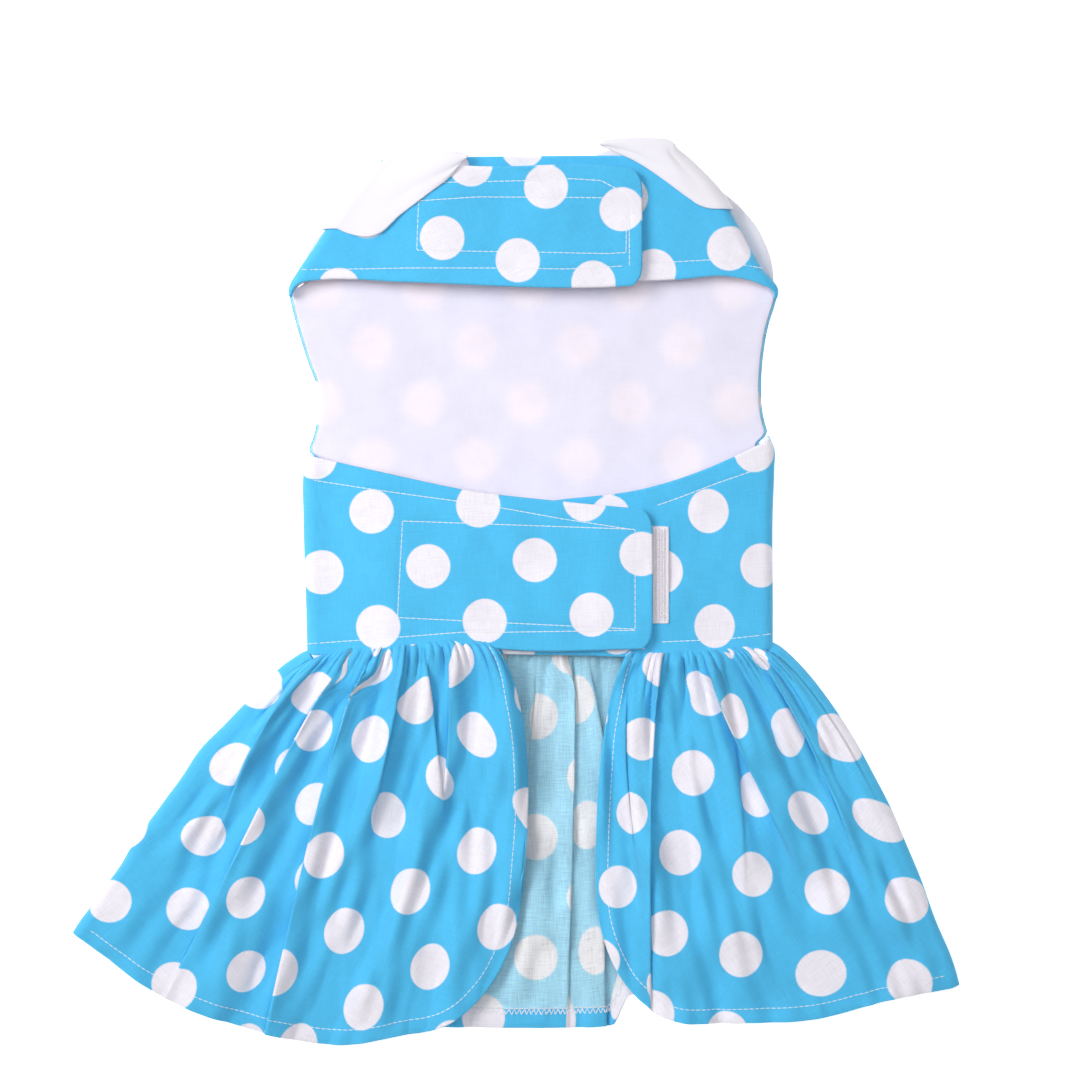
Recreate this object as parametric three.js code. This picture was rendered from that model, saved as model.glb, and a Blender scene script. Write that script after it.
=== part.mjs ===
// Dog dress, lying belly side up: a lined bodice with neck and belly flaps that close with
// hook and loop, a turned-out collar, and a gathered flared skirt that is open at the front.
// Millimetres. +X is right as seen from above, +Y runs from the hem to the neck, +Z is up.
import * as THREE from 'three';

// Cloth
const CLOTH = 1.0; // one layer of dress cloth or lining
const FLAP = 1.7; // a flap, cloth and lining sewn together
const COLLAR = 1.2; // the double cloth of the collar
const PAD = 1.0; // one half of a hook and loop fastener
const GAP = 0.3; // clearance between neighbouring pieces
const FOLD_RADIUS = 4.5; // bend of the cloth at the sides, to the middle of the cloth
const SEAM_FLAT = 2; // flat cloth between the side seams and the bends

// Bodice
const BELLY_HALF = 108.2; // half the flat width at the belly band
const SHOULDER_HALF = 112.4; // half the flat width at the foot of the neck band
const NECK_HALF = 69.2; // half the flat width at the neckline
const BELLY_BAND = 93; // height of the belly band at the sides
const ARMHOLE = 74; // from the belly band up to the neck band at the sides
const NECK_BAND = 59.5; // height of the neck band
const FLAP_CORNER = 4; // how far the free corners of a flap are rounded off

// Flaps: where each free end lies, to the right of the middle
const BELLY_LEFT_END = 52.9;
const BELLY_RIGHT_END = -65.5;
const NECK_LEFT_END = 48.1;
const NECK_RIGHT_END = -38;

// Hook and loop pads
// inset: from the left flap's free end to the pad under it. hookShows: how far the other
// half reaches past that end.
const PADS = {
  belly: { length: 107, height: 45, inset: 8, tilt: 0.02, hookShows: 7.6 },
  neck: { length: 86, height: 24, inset: 16, tilt: 0, hookShows: -2 },
};

// Collar
const COLLAR_WIDTH = 45; // depth of the leaf at the middle of the back
const COLLAR_CLEAR = 0.9; // how much wider than the neck band the collar turns

// Skirt
const SKIRT_LENGTH = 185;
const FRONT_CLOTH = 205; // width of the cloth of one front panel before it is gathered
const ROUNDED = { left: { across: 46, up: 64 }, right: { across: 53, up: 69 } }; // front corners
const WAIST_GAP = 0.8; // from the bodice down to the wavy top of the gathers
const GATHER_HEIGHT = 1.7;
const FOLD_HEIGHT = 4.1; // the highest fold
const FOLD_SPREAD = 0.1; // half width of the broadest fold, as a share of its panel
const HEM_FOLD_RADIUS = 3.9; // bend at the sides at the hem

// Heights of the middle of each layer, from the surface that the dress lies on
const BACK_Z = CLOTH / 2;
const NECK_RAISE = COLLAR + GAP; // the collar lies under the back of the neck
const LINING_RAISE = CLOTH + GAP;
const SEAM_Z = (2 * CLOTH + GAP) / 2; // middle of the cloth and lining together
const FLAP_INSET = FOLD_RADIUS + FLAP / 2; // from the side's outline to where its bend starts
const LIFT = FLAP + 2 * PAD + 3 * GAP; // left flap over right flap, with both pads between

// Heights along the dress
const BAND_TOP = BELLY_BAND;
const NECK_FOOT = BAND_TOP + ARMHOLE;
const NECKLINE = NECK_FOOT + NECK_BAND;

// Side outline at the belly band: share of its height, shares of BELLY_HALF
const BELLY_SIDE = [
  { up: 0, left: 0.981, right: 1.003 },
  { up: 0.3, left: 0.988, right: 1.003 },
  { up: 0.65, left: 0.997, right: 1.002 },
  { up: 1, left: 0.993, right: 1.008 },
];
// Armhole edge: share of its height, shares of BELLY_HALF
const ARMHOLE_SIDE = [
  { up: 0.02, left: 0.947, right: 0.965 },
  { up: 0.16, left: 0.94, right: 0.963 },
  { up: 0.35, left: 0.939, right: 0.955 },
  { up: 0.56, left: 0.984, right: 0.963 },
  { up: 0.76, left: 1.022, right: 0.983 },
  { up: 0.88, left: 1.02, right: 0.985 },
];
// Side outline at the neck band: share of its height, shares of the way from the shoulder
// width to the neckline width
const NECK_SIDE = [
  { up: 0, left: -0.05, right: 0.05 },
  { up: 0.12, left: 0.044, right: 0.197 },
  { up: 0.31, left: 0.222, right: 0.345 },
  { up: 0.45, left: 0.35, right: 0.45 },
  { up: 0.75, left: 0.657, right: 0.7 },
  { up: 1, left: 0.963, right: 1.037 },
];
// Edges of the belly flaps: share of BELLY_HALF to the right, share of BELLY_BAND up
const BELLY_EDGES = {
  left: {
    high: [
      { right: -0.99, up: 0.957 },
      { right: -0.83, up: 0.915 },
      { right: -0.53, up: 0.835 },
      { right: -0.32, up: 0.786 },
      { right: 0.09, up: 0.727 },
      { right: 0.49, up: 0.684 },
    ],
    low: [
      { right: -0.98, up: -0.019 },
      { right: -0.67, up: -0.005 },
      { right: -0.46, up: 0.015 },
      { right: -0.26, up: 0.03 },
      { right: -0.18, up: 0.017 },
      { right: 0.49, up: 0.015 },
    ],
  },
  right: {
    high: [
      { right: -0.6, up: 0.66 },
      { right: 0.1, up: 0.735 },
      { right: 0.46, up: 0.791 },
      { right: 0.67, up: 0.866 },
      { right: 0.88, up: 0.97 },
      { right: 1, up: 1.035 },
    ],
    low: [
      { right: -0.6, up: -0.005 },
      { right: 0.39, up: -0.028 },
      { right: 0.5, up: -0.034 },
      { right: 0.7, up: -0.025 },
      { right: 0.88, up: -0.005 },
      { right: 1, up: 0.019 },
    ],
  },
};
// Edges of the neck flaps: share of SHOULDER_HALF to the right, share of NECK_BAND up
const NECK_EDGES = {
  left: {
    high: [
      { right: -0.62, up: 1 },
      { right: -0.29, up: 0.936 },
      { right: 0.28, up: 0.934 },
      { right: 0.43, up: 0.9 },
    ],
    low: [
      { right: -1, up: 0.039 },
      { right: -0.88, up: 0.069 },
      { right: -0.54, up: 0.045 },
      { right: 0.29, up: 0.007 },
      { right: 0.43, up: 0.02 },
    ],
  },
  right: {
    high: [
      { right: -0.34, up: 0.99 },
      { right: 0.33, up: 1 },
      { right: 0.6, up: 1 },
    ],
    low: [
      { right: -0.34, up: 0.07 },
      { right: 0.57, up: 0.069 },
      { right: 0.78, up: 0.092 },
      { right: 0.91, up: 0.039 },
      { right: 0.98, up: -0.03 },
    ],
  },
};
// Ends of the seams between the flaps and the back, as shares of the band's height
const SIDE_SEAM = { belly: { low: 0, high: 0.955 }, neck: { low: -0.1, high: 1 } };

// Collar leaves: along runs from the inner tip (0) to the side fold (1) and on to the middle
// of the back (2). Shares of NECK_HALF to the side, and of COLLAR_WIDTH down from the neckline.
const COLLAR_LEAVES = {
  left: {
    top: [
      { along: 0, neckSide: 0.468, neckDown: 0, leafSide: 0.52, leafDown: 0.08 },
      { along: 0.25, neckSide: 0.58, neckDown: -0.03, leafSide: 0.715, leafDown: 0.36 },
      { along: 0.5, neckSide: 0.7, neckDown: -0.05, leafSide: 0.93, leafDown: 0.6 },
      { along: 0.7, neckSide: 0.8, neckDown: -0.055, leafSide: 1.08, leafDown: 0.785 },
      { along: 0.85, neckSide: 0.87, neckDown: -0.055, leafSide: 1.2, leafDown: 0.79 },
    ],
    fold: { neckDown: -0.05, leafDown: 0.72 },
    back: [
      { along: 1.15, neckSide: 0.8, neckDown: 0.02, leafSide: 1.49, leafDown: 0.9 },
      { along: 1.3, neckSide: 0.65, neckDown: 0.05, leafSide: 1.25, leafDown: 1.05 },
      { along: 1.6, neckSide: 0.4, neckDown: 0.07, leafSide: 0.6, leafDown: 1.04 },
    ],
  },
  right: {
    top: [
      { along: 0, neckSide: 0.416, neckDown: -0.15, leafSide: 0.45, leafDown: -0.12 },
      { along: 0.25, neckSide: 0.56, neckDown: -0.175, leafSide: 0.61, leafDown: 0 },
      { along: 0.5, neckSide: 0.68, neckDown: -0.18, leafSide: 0.83, leafDown: 0.22 },
      { along: 0.75, neckSide: 0.79, neckDown: -0.175, leafSide: 1.07, leafDown: 0.47 },
      { along: 0.87, neckSide: 0.86, neckDown: -0.17, leafSide: 1.17, leafDown: 0.52 },
    ],
    fold: { neckDown: -0.16, leafDown: 0.51 },
    back: [
      { along: 1.15, neckSide: 0.8, neckDown: -0.02, leafSide: 1.5, leafDown: 0.86 },
      { along: 1.35, neckSide: 0.65, neckDown: 0.04, leafSide: 1.5, leafDown: 1.22 },
      { along: 1.6, neckSide: 0.4, neckDown: 0.07, leafSide: 0.75, leafDown: 1.1 },
    ],
  },
};
const COLLAR_MIDDLE = { neckDown: 0.08, leafDown: 1 };

// Skirt rays, evenly spaced over the cloth of each panel, from its front edge to the side, or
// for the back from left to right. waist is a share of BELLY_HALF to the right. shift and drop
// are the way from there to the hem, and bulge swells the ray below the gathers: all three are
// shares of SKIRT_LENGTH.
const SKIRT_RAYS = {
  left: [
    { waist: -0.206, shift: 0.035, drop: 0.98, bulge: 0.083 },
    { waist: -0.361, shift: -0.081, drop: 0.975, bulge: 0.05 },
    { waist: -0.516, shift: -0.195, drop: 0.995, bulge: 0.02 },
    { waist: -0.671, shift: -0.316, drop: 0.95, bulge: -0.01 },
    { waist: -0.825, shift: -0.447, drop: 0.865, bulge: -0.035 },
  ],
  back: [
    { waist: -0.72, shift: -0.454, drop: 0.835, bulge: -0.03 },
    { waist: -0.48, shift: -0.34, drop: 0.94, bulge: -0.02 },
    { waist: -0.24, shift: -0.195, drop: 0.945, bulge: -0.01 },
    { waist: 0, shift: -0.065, drop: 0.952, bulge: 0 },
    { waist: 0.24, shift: 0.038, drop: 0.935, bulge: 0.01 },
    { waist: 0.48, shift: 0.173, drop: 0.9, bulge: 0.02 },
    { waist: 0.72, shift: 0.335, drop: 0.88, bulge: 0.04 },
  ],
  right: [
    { waist: 0.394, shift: -0.075, drop: 0.93, bulge: -0.05 },
    { waist: 0.517, shift: 0.022, drop: 0.92, bulge: -0.03 },
    { waist: 0.64, shift: 0.13, drop: 0.92, bulge: 0 },
    { waist: 0.763, shift: 0.254, drop: 0.915, bulge: 0.03 },
    { waist: 0.885, shift: 0.364, drop: 0.875, bulge: 0.055 },
  ],
};
const SKIRT_SIDES = {
  left: { waist: -0.981, shift: -0.582, drop: 0.704, bulge: -0.057 },
  right: { waist: 1.003, shift: 0.467, drop: 0.85, bulge: 0.073 },
};
// Main folds of the skirt. top and foot are where the crest lies across its panel, start and
// end how far down it runs, height a share of FOLD_HEIGHT, width a share of FOLD_SPREAD.
const SKIRT_FOLDS = {
  left: [
    { top: 0.18, foot: 0.1, start: 0.1, end: 0.8, height: 0.58, width: 0.85 },
    { top: 0.44, foot: 0.36, start: 0, end: 0.75, height: 0.75, width: 0.77 },
    { top: 0.68, foot: 0.52, start: 0.05, end: 1.1, height: 1, width: 0.77 },
    { top: 0.86, foot: 0.84, start: 0.1, end: 1, height: 0.83, width: 0.68 },
  ],
  back: [
    { top: 0.14, foot: 0.14, start: 0.1, end: 1.1, height: 0.5, width: 0.51 },
    { top: 0.34, foot: 0.36, start: 0.1, end: 1.1, height: 0.5, width: 0.43 },
    { top: 0.58, foot: 0.57, start: 0, end: 0.8, height: 0.83, width: 0.34 },
    { top: 0.64, foot: 0.64, start: 0.5, end: 1.2, height: 0.91, width: 0.3 },
    { top: 0.85, foot: 0.85, start: 0.1, end: 1.1, height: 0.5, width: 0.51 },
  ],
  right: [
    { top: 0.12, foot: 0.16, start: 0.05, end: 0.9, height: 0.75, width: 0.85 },
    { top: 0.54, foot: 0.72, start: 0, end: 0.7, height: 1, width: 0.85 },
    { top: 0.8, foot: 0.86, start: 0.15, end: 1, height: 0.58, width: 1 },
  ],
};
const GATHERS = { left: 10, back: 18, right: 8 };
const SIDE_FADE = 0.06; // share of a panel over which its folds die away to the side bends

// Mesh steps
const COLUMNS_PER_GATHER = 4;
const BEND_STEPS = 6;
const SKIRT_ROWS = 9;
const FLAP_ROWS = [0, 0.08, 0.3, 0.65, 0.92, 1];
const FLAP_COLUMNS = 16;
const PAD_COLUMNS = 8;
const BODICE_COLUMNS = 6;
const LEAF_ROWS = 5;
const LEAF_COLUMNS = 9;
const LEAF_BACK_COLUMNS = 5;

const { lerp, clamp, smoothstep } = THREE.MathUtils;
const ease = (share) => smoothstep(share, 0, 1);
const sign = { left: -1, right: 1 };

// Reads a column of a table at a place between its rows, on a smooth curve
function readTable(rows, key, place, column) {
  const at = clamp(place, rows[0][key], rows.at(-1)[key]);
  const last = rows.length - 1;
  const i = clamp(rows.findIndex((row) => row[key] >= at) - 1, 0, last - 1);
  const slope = (k) => {
    const a = rows[Math.max(k - 1, 0)];
    const b = rows[Math.min(k + 1, last)];
    return (b[column] - a[column]) / (b[key] - a[key]);
  };
  const span = rows[i + 1][key] - rows[i][key];
  const t = (at - rows[i][key]) / span;
  const bend = t * (1 - t) * span;
  return lerp(rows[i][column], rows[i + 1][column], t * t * (3 - 2 * t))
    + bend * ((1 - t) * slope(i) - t * slope(i + 1));
}

// Closed wall of even thickness about a grid of middle points, grid[row][column]
function wall(grid, thickness) {
  const rows = grid.length;
  const columns = grid[0].length;
  const far = [];
  const near = [];
  grid.forEach((line, r) => line.forEach((point, c) => {
    const across = line[Math.min(c + 1, columns - 1)].clone().sub(line[Math.max(c - 1, 0)]);
    const down = grid[Math.min(r + 1, rows - 1)][c].clone().sub(grid[Math.max(r - 1, 0)][c]);
    const reach = across.cross(down).setLength(thickness / 2);
    far.push(point.clone().add(reach));
    near.push(point.clone().sub(reach));
  }));
  const index = (r, c) => r * columns + c;
  const faces = [];
  const quad = (a, b, c, d) => faces.push(a, b, c, a, c, d);
  for (let r = 0; r < rows - 1; r += 1) {
    for (let c = 0; c < columns - 1; c += 1) {
      const corners = [index(r, c), index(r, c + 1), index(r + 1, c + 1), index(r + 1, c)];
      quad(...corners);
      const [a, b, d, e] = corners.map((corner) => corner + far.length);
      faces.push(a, d, b, a, e, d);
    }
  }
  const rim = [];
  for (let c = 0; c < columns; c += 1) rim.push(index(0, c));
  for (let r = 1; r < rows; r += 1) rim.push(index(r, columns - 1));
  for (let c = columns - 2; c >= 0; c -= 1) rim.push(index(rows - 1, c));
  for (let r = rows - 2; r > 0; r -= 1) rim.push(index(r, 0));
  rim.forEach((from, k) => {
    const to = rim[(k + 1) % rim.length];
    quad(to, from, from + far.length, to + far.length);
  });
  const geometry = new THREE.BufferGeometry().setFromPoints([...far, ...near]);
  geometry.setIndex(faces);
  geometry.computeVertexNormals();
  return geometry;
}

// Outline of the dress at a height y on one side, as a distance from the middle
function sideOutline(side, y) {
  if (y <= BAND_TOP) return BELLY_HALF * readTable(BELLY_SIDE, 'up', y / BELLY_BAND, side);
  const inward = readTable(NECK_SIDE, 'up', (y - NECK_FOOT) / NECK_BAND, side);
  return lerp(SHOULDER_HALF, NECK_HALF, inward);
}

// Signed x where the bend of a side fold starts
function bendStart(side, y) {
  return sign[side] * (sideOutline(side, y) - FLAP_INSET);
}

const bellyEdge = (side, edge, x) => (
  BELLY_BAND * readTable(BELLY_EDGES[side][edge], 'right', x / BELLY_HALF, 'up')
);
const neckEdge = (side, edge, x) => (
  NECK_FOOT + NECK_BAND * readTable(NECK_EDGES[side][edge], 'right', x / SHOULDER_HALF, 'up')
);

const seamHeight = {
  belly: (v) => BELLY_BAND * lerp(SIDE_SEAM.belly.low, SIDE_SEAM.belly.high, v),
  neck: (v) => NECK_FOOT + NECK_BAND * lerp(SIDE_SEAM.neck.low, SIDE_SEAM.neck.high, v),
};

// How far the back and its lining are raised over the collar, at a height y
const neckRaise = (y) => NECK_RAISE * ease((y - NECK_FOOT + ARMHOLE / 2) / (ARMHOLE / 2));

// Middle of a flap's cloth over the hollow: the left flap climbs over the right one
function flapHeight(band, side, x, y) {
  const low = SEAM_Z + (band === 'neck' ? NECK_RAISE : 0) + 2 * FOLD_RADIUS;
  if (side === 'right') return low;
  const end = band === 'neck' ? NECK_RIGHT_END : BELLY_RIGHT_END;
  const start = bendStart('left', y);
  return low + LIFT * ease((x - start) / (end - GAP - start));
}

// Back cloth or lining: raise lifts it over what lies below, inset draws in its open edges
function bodiceSheet(raise, inset) {
  const rows = [];
  const seamed = (side, y) => Math.abs(bendStart(side, y)) - SEAM_FLAT - GAP;
  const open = (side, up) => BELLY_HALF * readTable(ARMHOLE_SIDE, 'up', up, side) - inset;
  const addRow = (y, left, right) => {
    const points = [];
    for (let c = 0; c <= BODICE_COLUMNS; c += 1) {
      const x = lerp(-left, right, c / BODICE_COLUMNS);
      points.push(new THREE.Vector3(x, y, BACK_Z + raise + neckRaise(y)));
    }
    rows.push(points);
  };
  const addBand = (band) => [...FLAP_ROWS].reverse().forEach((v) => {
    const y = seamHeight[band](v);
    addRow(y, seamed('left', y), seamed('right', y));
  });
  addBand('neck');
  [0.86, 0.8, 0.7, 0.6, 0.5, 0.4, 0.3, 0.2, 0.1, 0.03].forEach((up) => {
    addRow(BAND_TOP + ARMHOLE * up, open('left', up), open('right', up));
  });
  addBand('belly');
  return wall(rows, CLOTH);
}

// Flap of a band, from the seam at the side round the fold to its free end
function flapSheet(band, side, edge, freeEnd) {
  const toMiddle = -sign[side];
  const raise = band === 'neck' ? NECK_RAISE : 0;
  const outside = sign[side] * SHOULDER_HALF;
  const grid = FLAP_ROWS.map((v) => {
    const yTop = lerp(edge(side, 'low', outside), edge(side, 'high', outside), v);
    const ySeam = seamHeight[band](v);
    const seam = bendStart(side, ySeam) + toMiddle * SEAM_FLAT;
    const line = [new THREE.Vector3(seam, ySeam, SEAM_Z + raise)];
    for (let step = 0; step <= BEND_STEPS; step += 1) {
      const turn = Math.PI * (1 - step / BEND_STEPS);
      const y = lerp(yTop, ySeam, turn / Math.PI);
      const x = bendStart(side, y) - toMiddle * FOLD_RADIUS * Math.sin(turn);
      const z = SEAM_Z + raise + FOLD_RADIUS * (1 + Math.cos(turn));
      line.push(new THREE.Vector3(x, y, z));
    }
    const rounding = FLAP_CORNER * Math.abs(2 * v - 1) ** 8;
    const start = bendStart(side, yTop);
    for (let step = 1; step <= FLAP_COLUMNS; step += 1) {
      const x = lerp(start, freeEnd - toMiddle * rounding, step / FLAP_COLUMNS);
      const y = lerp(edge(side, 'low', x), edge(side, 'high', x), v);
      line.push(new THREE.Vector3(x, y, flapHeight(band, side, x, y)));
    }
    return side === 'left' ? line : line.reverse();
  });
  return wall(grid.reverse(), FLAP);
}

// Pad between two flaps: the hook pad lies on the right flap, the loop pad under the left one
function padSheet(band, edge, side, right) {
  const { length, height, tilt } = PADS[band];
  const middle = (edge('left', 'high', 0) + edge('left', 'low', 0)) / 2;
  const off = sign[side] * (FLAP / 2 + GAP + PAD / 2);
  const grid = [1, 0].map((v) => {
    const line = [];
    for (let step = 0; step <= PAD_COLUMNS; step += 1) {
      const x = right - length * (1 - step / PAD_COLUMNS);
      const y = middle + height * (v - 0.5) - tilt * (x - right);
      line.push(new THREE.Vector3(x, y, flapHeight(band, side, x, y) + off));
    }
    return line;
  });
  return wall(grid, PAD);
}

// Leaf of the collar: out over the flap, round the side fold and back under the neck
function collarLeaf(side) {
  const table = COLLAR_LEAVES[side];
  const over = (FLAP + COLLAR) / 2 + GAP;
  const bend = (SEAM_Z + NECK_RAISE + over - COLLAR / 2) / 2 + FOLD_RADIUS;
  const centre = COLLAR / 2 + bend;
  const height = (down) => NECKLINE - COLLAR_WIDTH * down;
  const foldPoint = (down) => new THREE.Vector2(bendStart(side, height(down)), height(down));
  const foldNeck = foldPoint(table.fold.neckDown);
  const foldLeaf = foldPoint(table.fold.leafDown);
  const spot = (share, down) => new THREE.Vector2(sign[side] * NECK_HALF * share, height(down));
  const station = (row) => ({
    along: row.along,
    neck: spot(row.neckSide, row.neckDown),
    leaf: spot(row.leafSide, row.leafDown),
  });
  const fold = { along: 1, neck: foldNeck, leaf: foldLeaf };
  const middle = {
    along: 2,
    neck: new THREE.Vector2(sign[side] * GAP, height(COLLAR_MIDDLE.neckDown)),
    leaf: new THREE.Vector2(sign[side] * GAP, height(COLLAR_MIDDLE.leafDown)),
  };
  const line = (stations, along, edge) => {
    const flat = stations.map((s) => ({ along: s.along, x: s[edge].x, y: s[edge].y }));
    return new THREE.Vector2(
      readTable(flat, 'along', along, 'x'),
      readTable(flat, 'along', along, 'y'),
    );
  };
  const leaf = [...table.top.map(station), fold];
  const under = [fold, ...table.back.map(station), middle];
  const grid = [];
  for (let r = 0; r <= LEAF_ROWS; r += 1) {
    const v = r / LEAF_ROWS;
    const points = [];
    for (let c = 0; c < LEAF_COLUMNS; c += 1) {
      const along = c / LEAF_COLUMNS;
      const p = line(leaf, along, 'neck').lerp(line(leaf, along, 'leaf'), v);
      points.push(new THREE.Vector3(p.x, p.y, flapHeight('neck', side, p.x, p.y) + over));
    }
    for (let step = 0; step <= BEND_STEPS; step += 1) {
      const turn = (Math.PI * step) / BEND_STEPS;
      const y = lerp(foldNeck.y, foldLeaf.y, v);
      const x = bendStart(side, y) + sign[side] * (bend + COLLAR_CLEAR) * Math.sin(turn);
      points.push(new THREE.Vector3(x, y, centre + bend * Math.cos(turn)));
    }
    for (let c = 1; c <= LEAF_BACK_COLUMNS; c += 1) {
      const along = 1 + c / LEAF_BACK_COLUMNS;
      const p = line(under, along, 'neck').lerp(line(under, along, 'leaf'), v);
      points.push(new THREE.Vector3(p.x, p.y, COLLAR / 2));
    }
    grid.push(side === 'left' ? points.reverse() : points);
  }
  return wall(grid, COLLAR);
}

// Skirt
const swell = (v) => Math.sin(Math.PI * v ** 0.63);

function rayPoint(ray, top, v) {
  const x = BELLY_HALF * ray.waist + SKIRT_LENGTH * (ray.shift * v + ray.bulge * swell(v));
  return new THREE.Vector2(x, top - SKIRT_LENGTH * ray.drop * v);
}

const bellyFoot = (side) => bellyEdge(side, 'low', sign[side] * BELLY_HALF);

// Where the bend at the side of the skirt starts, and the direction out from it, in plan
function skirtSide(side, v) {
  const radius = lerp(FOLD_RADIUS, HEM_FOLD_RADIUS, v);
  const step = 0.02;
  const edge = (at) => rayPoint(SKIRT_SIDES[side], bellyFoot(side) - WAIST_GAP, at);
  const along = edge(Math.min(v + step, 1)).sub(edge(Math.max(v - step, 0))).normalize();
  const out = new THREE.Vector2(along.y, -along.x).multiplyScalar(-sign[side]);
  const start = edge(v).sub(out.clone().multiplyScalar(radius + CLOTH / 2));
  return { start, out, radius };
}

// Height that the folds and gathers of a panel add at a place across and down it
function relief(panel, across, column, v) {
  const gather = 0.5 - 0.5 * Math.cos(2 * Math.PI * GATHERS[panel] * column);
  const folds = SKIRT_FOLDS[panel].reduce((sum, fold) => {
    const crest = lerp(fold.top, fold.foot, v);
    const off = (across - crest) / (FOLD_SPREAD * fold.width);
    const run = ease((v - fold.start) / 0.2) * ease((fold.end - v) / 0.25);
    return sum + FOLD_HEIGHT * fold.height * run * Math.exp(-off * off);
  }, 0);
  return GATHER_HEIGHT * gather * ease(1 - v / 0.3) + folds;
}

const backHeight = (v) => lerp(SEAM_Z, BACK_Z, ease(v / 0.15));

// One row of a front panel, from its front edge to the side
function frontRow(side, share) {
  const columns = GATHERS[side] * COLUMNS_PER_GATHER;
  const points = [];
  for (let c = 0; c < columns; c += 1) {
    const column = c / columns;
    const across = column ** 1.3;
    const cloth = across * FRONT_CLOTH;
    const { across: wide, up } = ROUNDED[side];
    const cut = up * (1 - Math.sqrt(1 - Math.max(1 - cloth / wide, 0) ** 2));
    const v = share * (1 - cut / SKIRT_LENGTH);
    const rays = SKIRT_RAYS[side].map((ray) => {
      const top = bellyEdge(side, 'low', BELLY_HALF * ray.waist) - WAIST_GAP;
      return rayPoint(ray, top, v);
    });
    const edge = skirtSide(side, v);
    const plan = new THREE.SplineCurve([...rays, edge.start]).getPoint(across);
    const atWaist = flapHeight('belly', side, BELLY_HALF * lerp(SKIRT_RAYS[side][0].waist,
      SKIRT_SIDES[side].waist, across), 0);
    const base = lerp(atWaist, backHeight(v) + 2 * edge.radius, ease(v / 0.5));
    const z = base + relief(side, across, column, v) * ease((1 - across) / SIDE_FADE);
    points.push(new THREE.Vector3(plan.x, plan.y, z));
  }
  return points;
}

function bendRow(side, v) {
  const { start, out, radius } = skirtSide(side, v);
  const points = [];
  for (let step = 0; step <= BEND_STEPS; step += 1) {
    const turn = (Math.PI * step) / BEND_STEPS;
    const reach = radius * Math.sin(turn);
    const z = backHeight(v) + radius * (1 + Math.cos(turn));
    points.push(new THREE.Vector3(start.x + out.x * reach, start.y + out.y * reach, z));
  }
  return points;
}

function backRow(v) {
  const columns = GATHERS.back * COLUMNS_PER_GATHER;
  const rays = SKIRT_RAYS.back.map((ray) => rayPoint(ray, -WAIST_GAP, v));
  const ends = [skirtSide('left', v).start, skirtSide('right', v).start];
  const plan = new THREE.SplineCurve([ends[0], ...rays, ends[1]]);
  const points = [];
  for (let c = 1; c < columns; c += 1) {
    const across = c / columns;
    const p = plan.getPoint(across);
    const fade = ease(across / SIDE_FADE) * ease((1 - across) / SIDE_FADE);
    const z = backHeight(v) + relief('back', across, across, v) * fade;
    points.push(new THREE.Vector3(p.x, p.y, z));
  }
  return points;
}

function skirtSheet() {
  const grid = [];
  for (let r = 0; r <= SKIRT_ROWS; r += 1) {
    const v = (r / SKIRT_ROWS) ** 1.4;
    grid.push([
      ...frontRow('left', v),
      ...bendRow('left', v),
      ...backRow(v),
      ...bendRow('right', v).reverse(),
      ...frontRow('right', v).reverse(),
    ]);
  }
  return wall(grid, CLOTH);
}

const dress = new THREE.Group();

function addPiece(name, geometry, colour, roughness) {
  const material = new THREE.MeshStandardMaterial({ color: colour, roughness, metalness: 0 });
  const mesh = new THREE.Mesh(geometry, material);
  mesh.name = name;
  dress.add(mesh);
}

const BLUE = 0x2aa7d8;
const WHITE = 0xf2eff8;
const PLASTIC = 0xe9e6ee;

addPiece('bodice_back', bodiceSheet(0, 0), BLUE, 0.85);
addPiece('bodice_lining', bodiceSheet(LINING_RAISE, CLOTH), WHITE, 0.9);
addPiece('neck_flap_left', flapSheet('neck', 'left', neckEdge, NECK_LEFT_END), BLUE, 0.85);
addPiece('neck_flap_right', flapSheet('neck', 'right', neckEdge, NECK_RIGHT_END), BLUE, 0.85);
addPiece('belly_flap_left', flapSheet('belly', 'left', bellyEdge, BELLY_LEFT_END), BLUE, 0.85);
addPiece('belly_flap_right', flapSheet('belly', 'right', bellyEdge, BELLY_RIGHT_END), BLUE, 0.85);
[['belly', bellyEdge, BELLY_LEFT_END], ['neck', neckEdge, NECK_LEFT_END]].forEach(([band, edge, end]) => {
  const { inset, hookShows } = PADS[band];
  addPiece(`${band}_hook_pad`, padSheet(band, edge, 'right', end + hookShows), PLASTIC, 0.6);
  addPiece(`${band}_loop_pad`, padSheet(band, edge, 'left', end - inset), PLASTIC, 0.9);
});
addPiece('collar_left', collarLeaf('left'), WHITE, 0.9);
addPiece('collar_right', collarLeaf('right'), WHITE, 0.9);
addPiece('skirt', skirtSheet(), BLUE, 0.85);

// The origin is on the surface below the middle of the dress
const bounds = new THREE.Box3().setFromObject(dress);
const middle = bounds.getCenter(new THREE.Vector3());
dress.position.set(-middle.x, -middle.y, -bounds.min.z);

export default dress;
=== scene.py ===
"""Dog dress of white-dotted sky-blue cotton, lying belly side up on a pale floor.

Lengths are in millimetres in the dress's own plan: x to the right of its middle line, y up from
the waist seam towards the neck, z up from the floor. place() turns them into metres in the frame.
"""
import math
from collections import namedtuple

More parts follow.
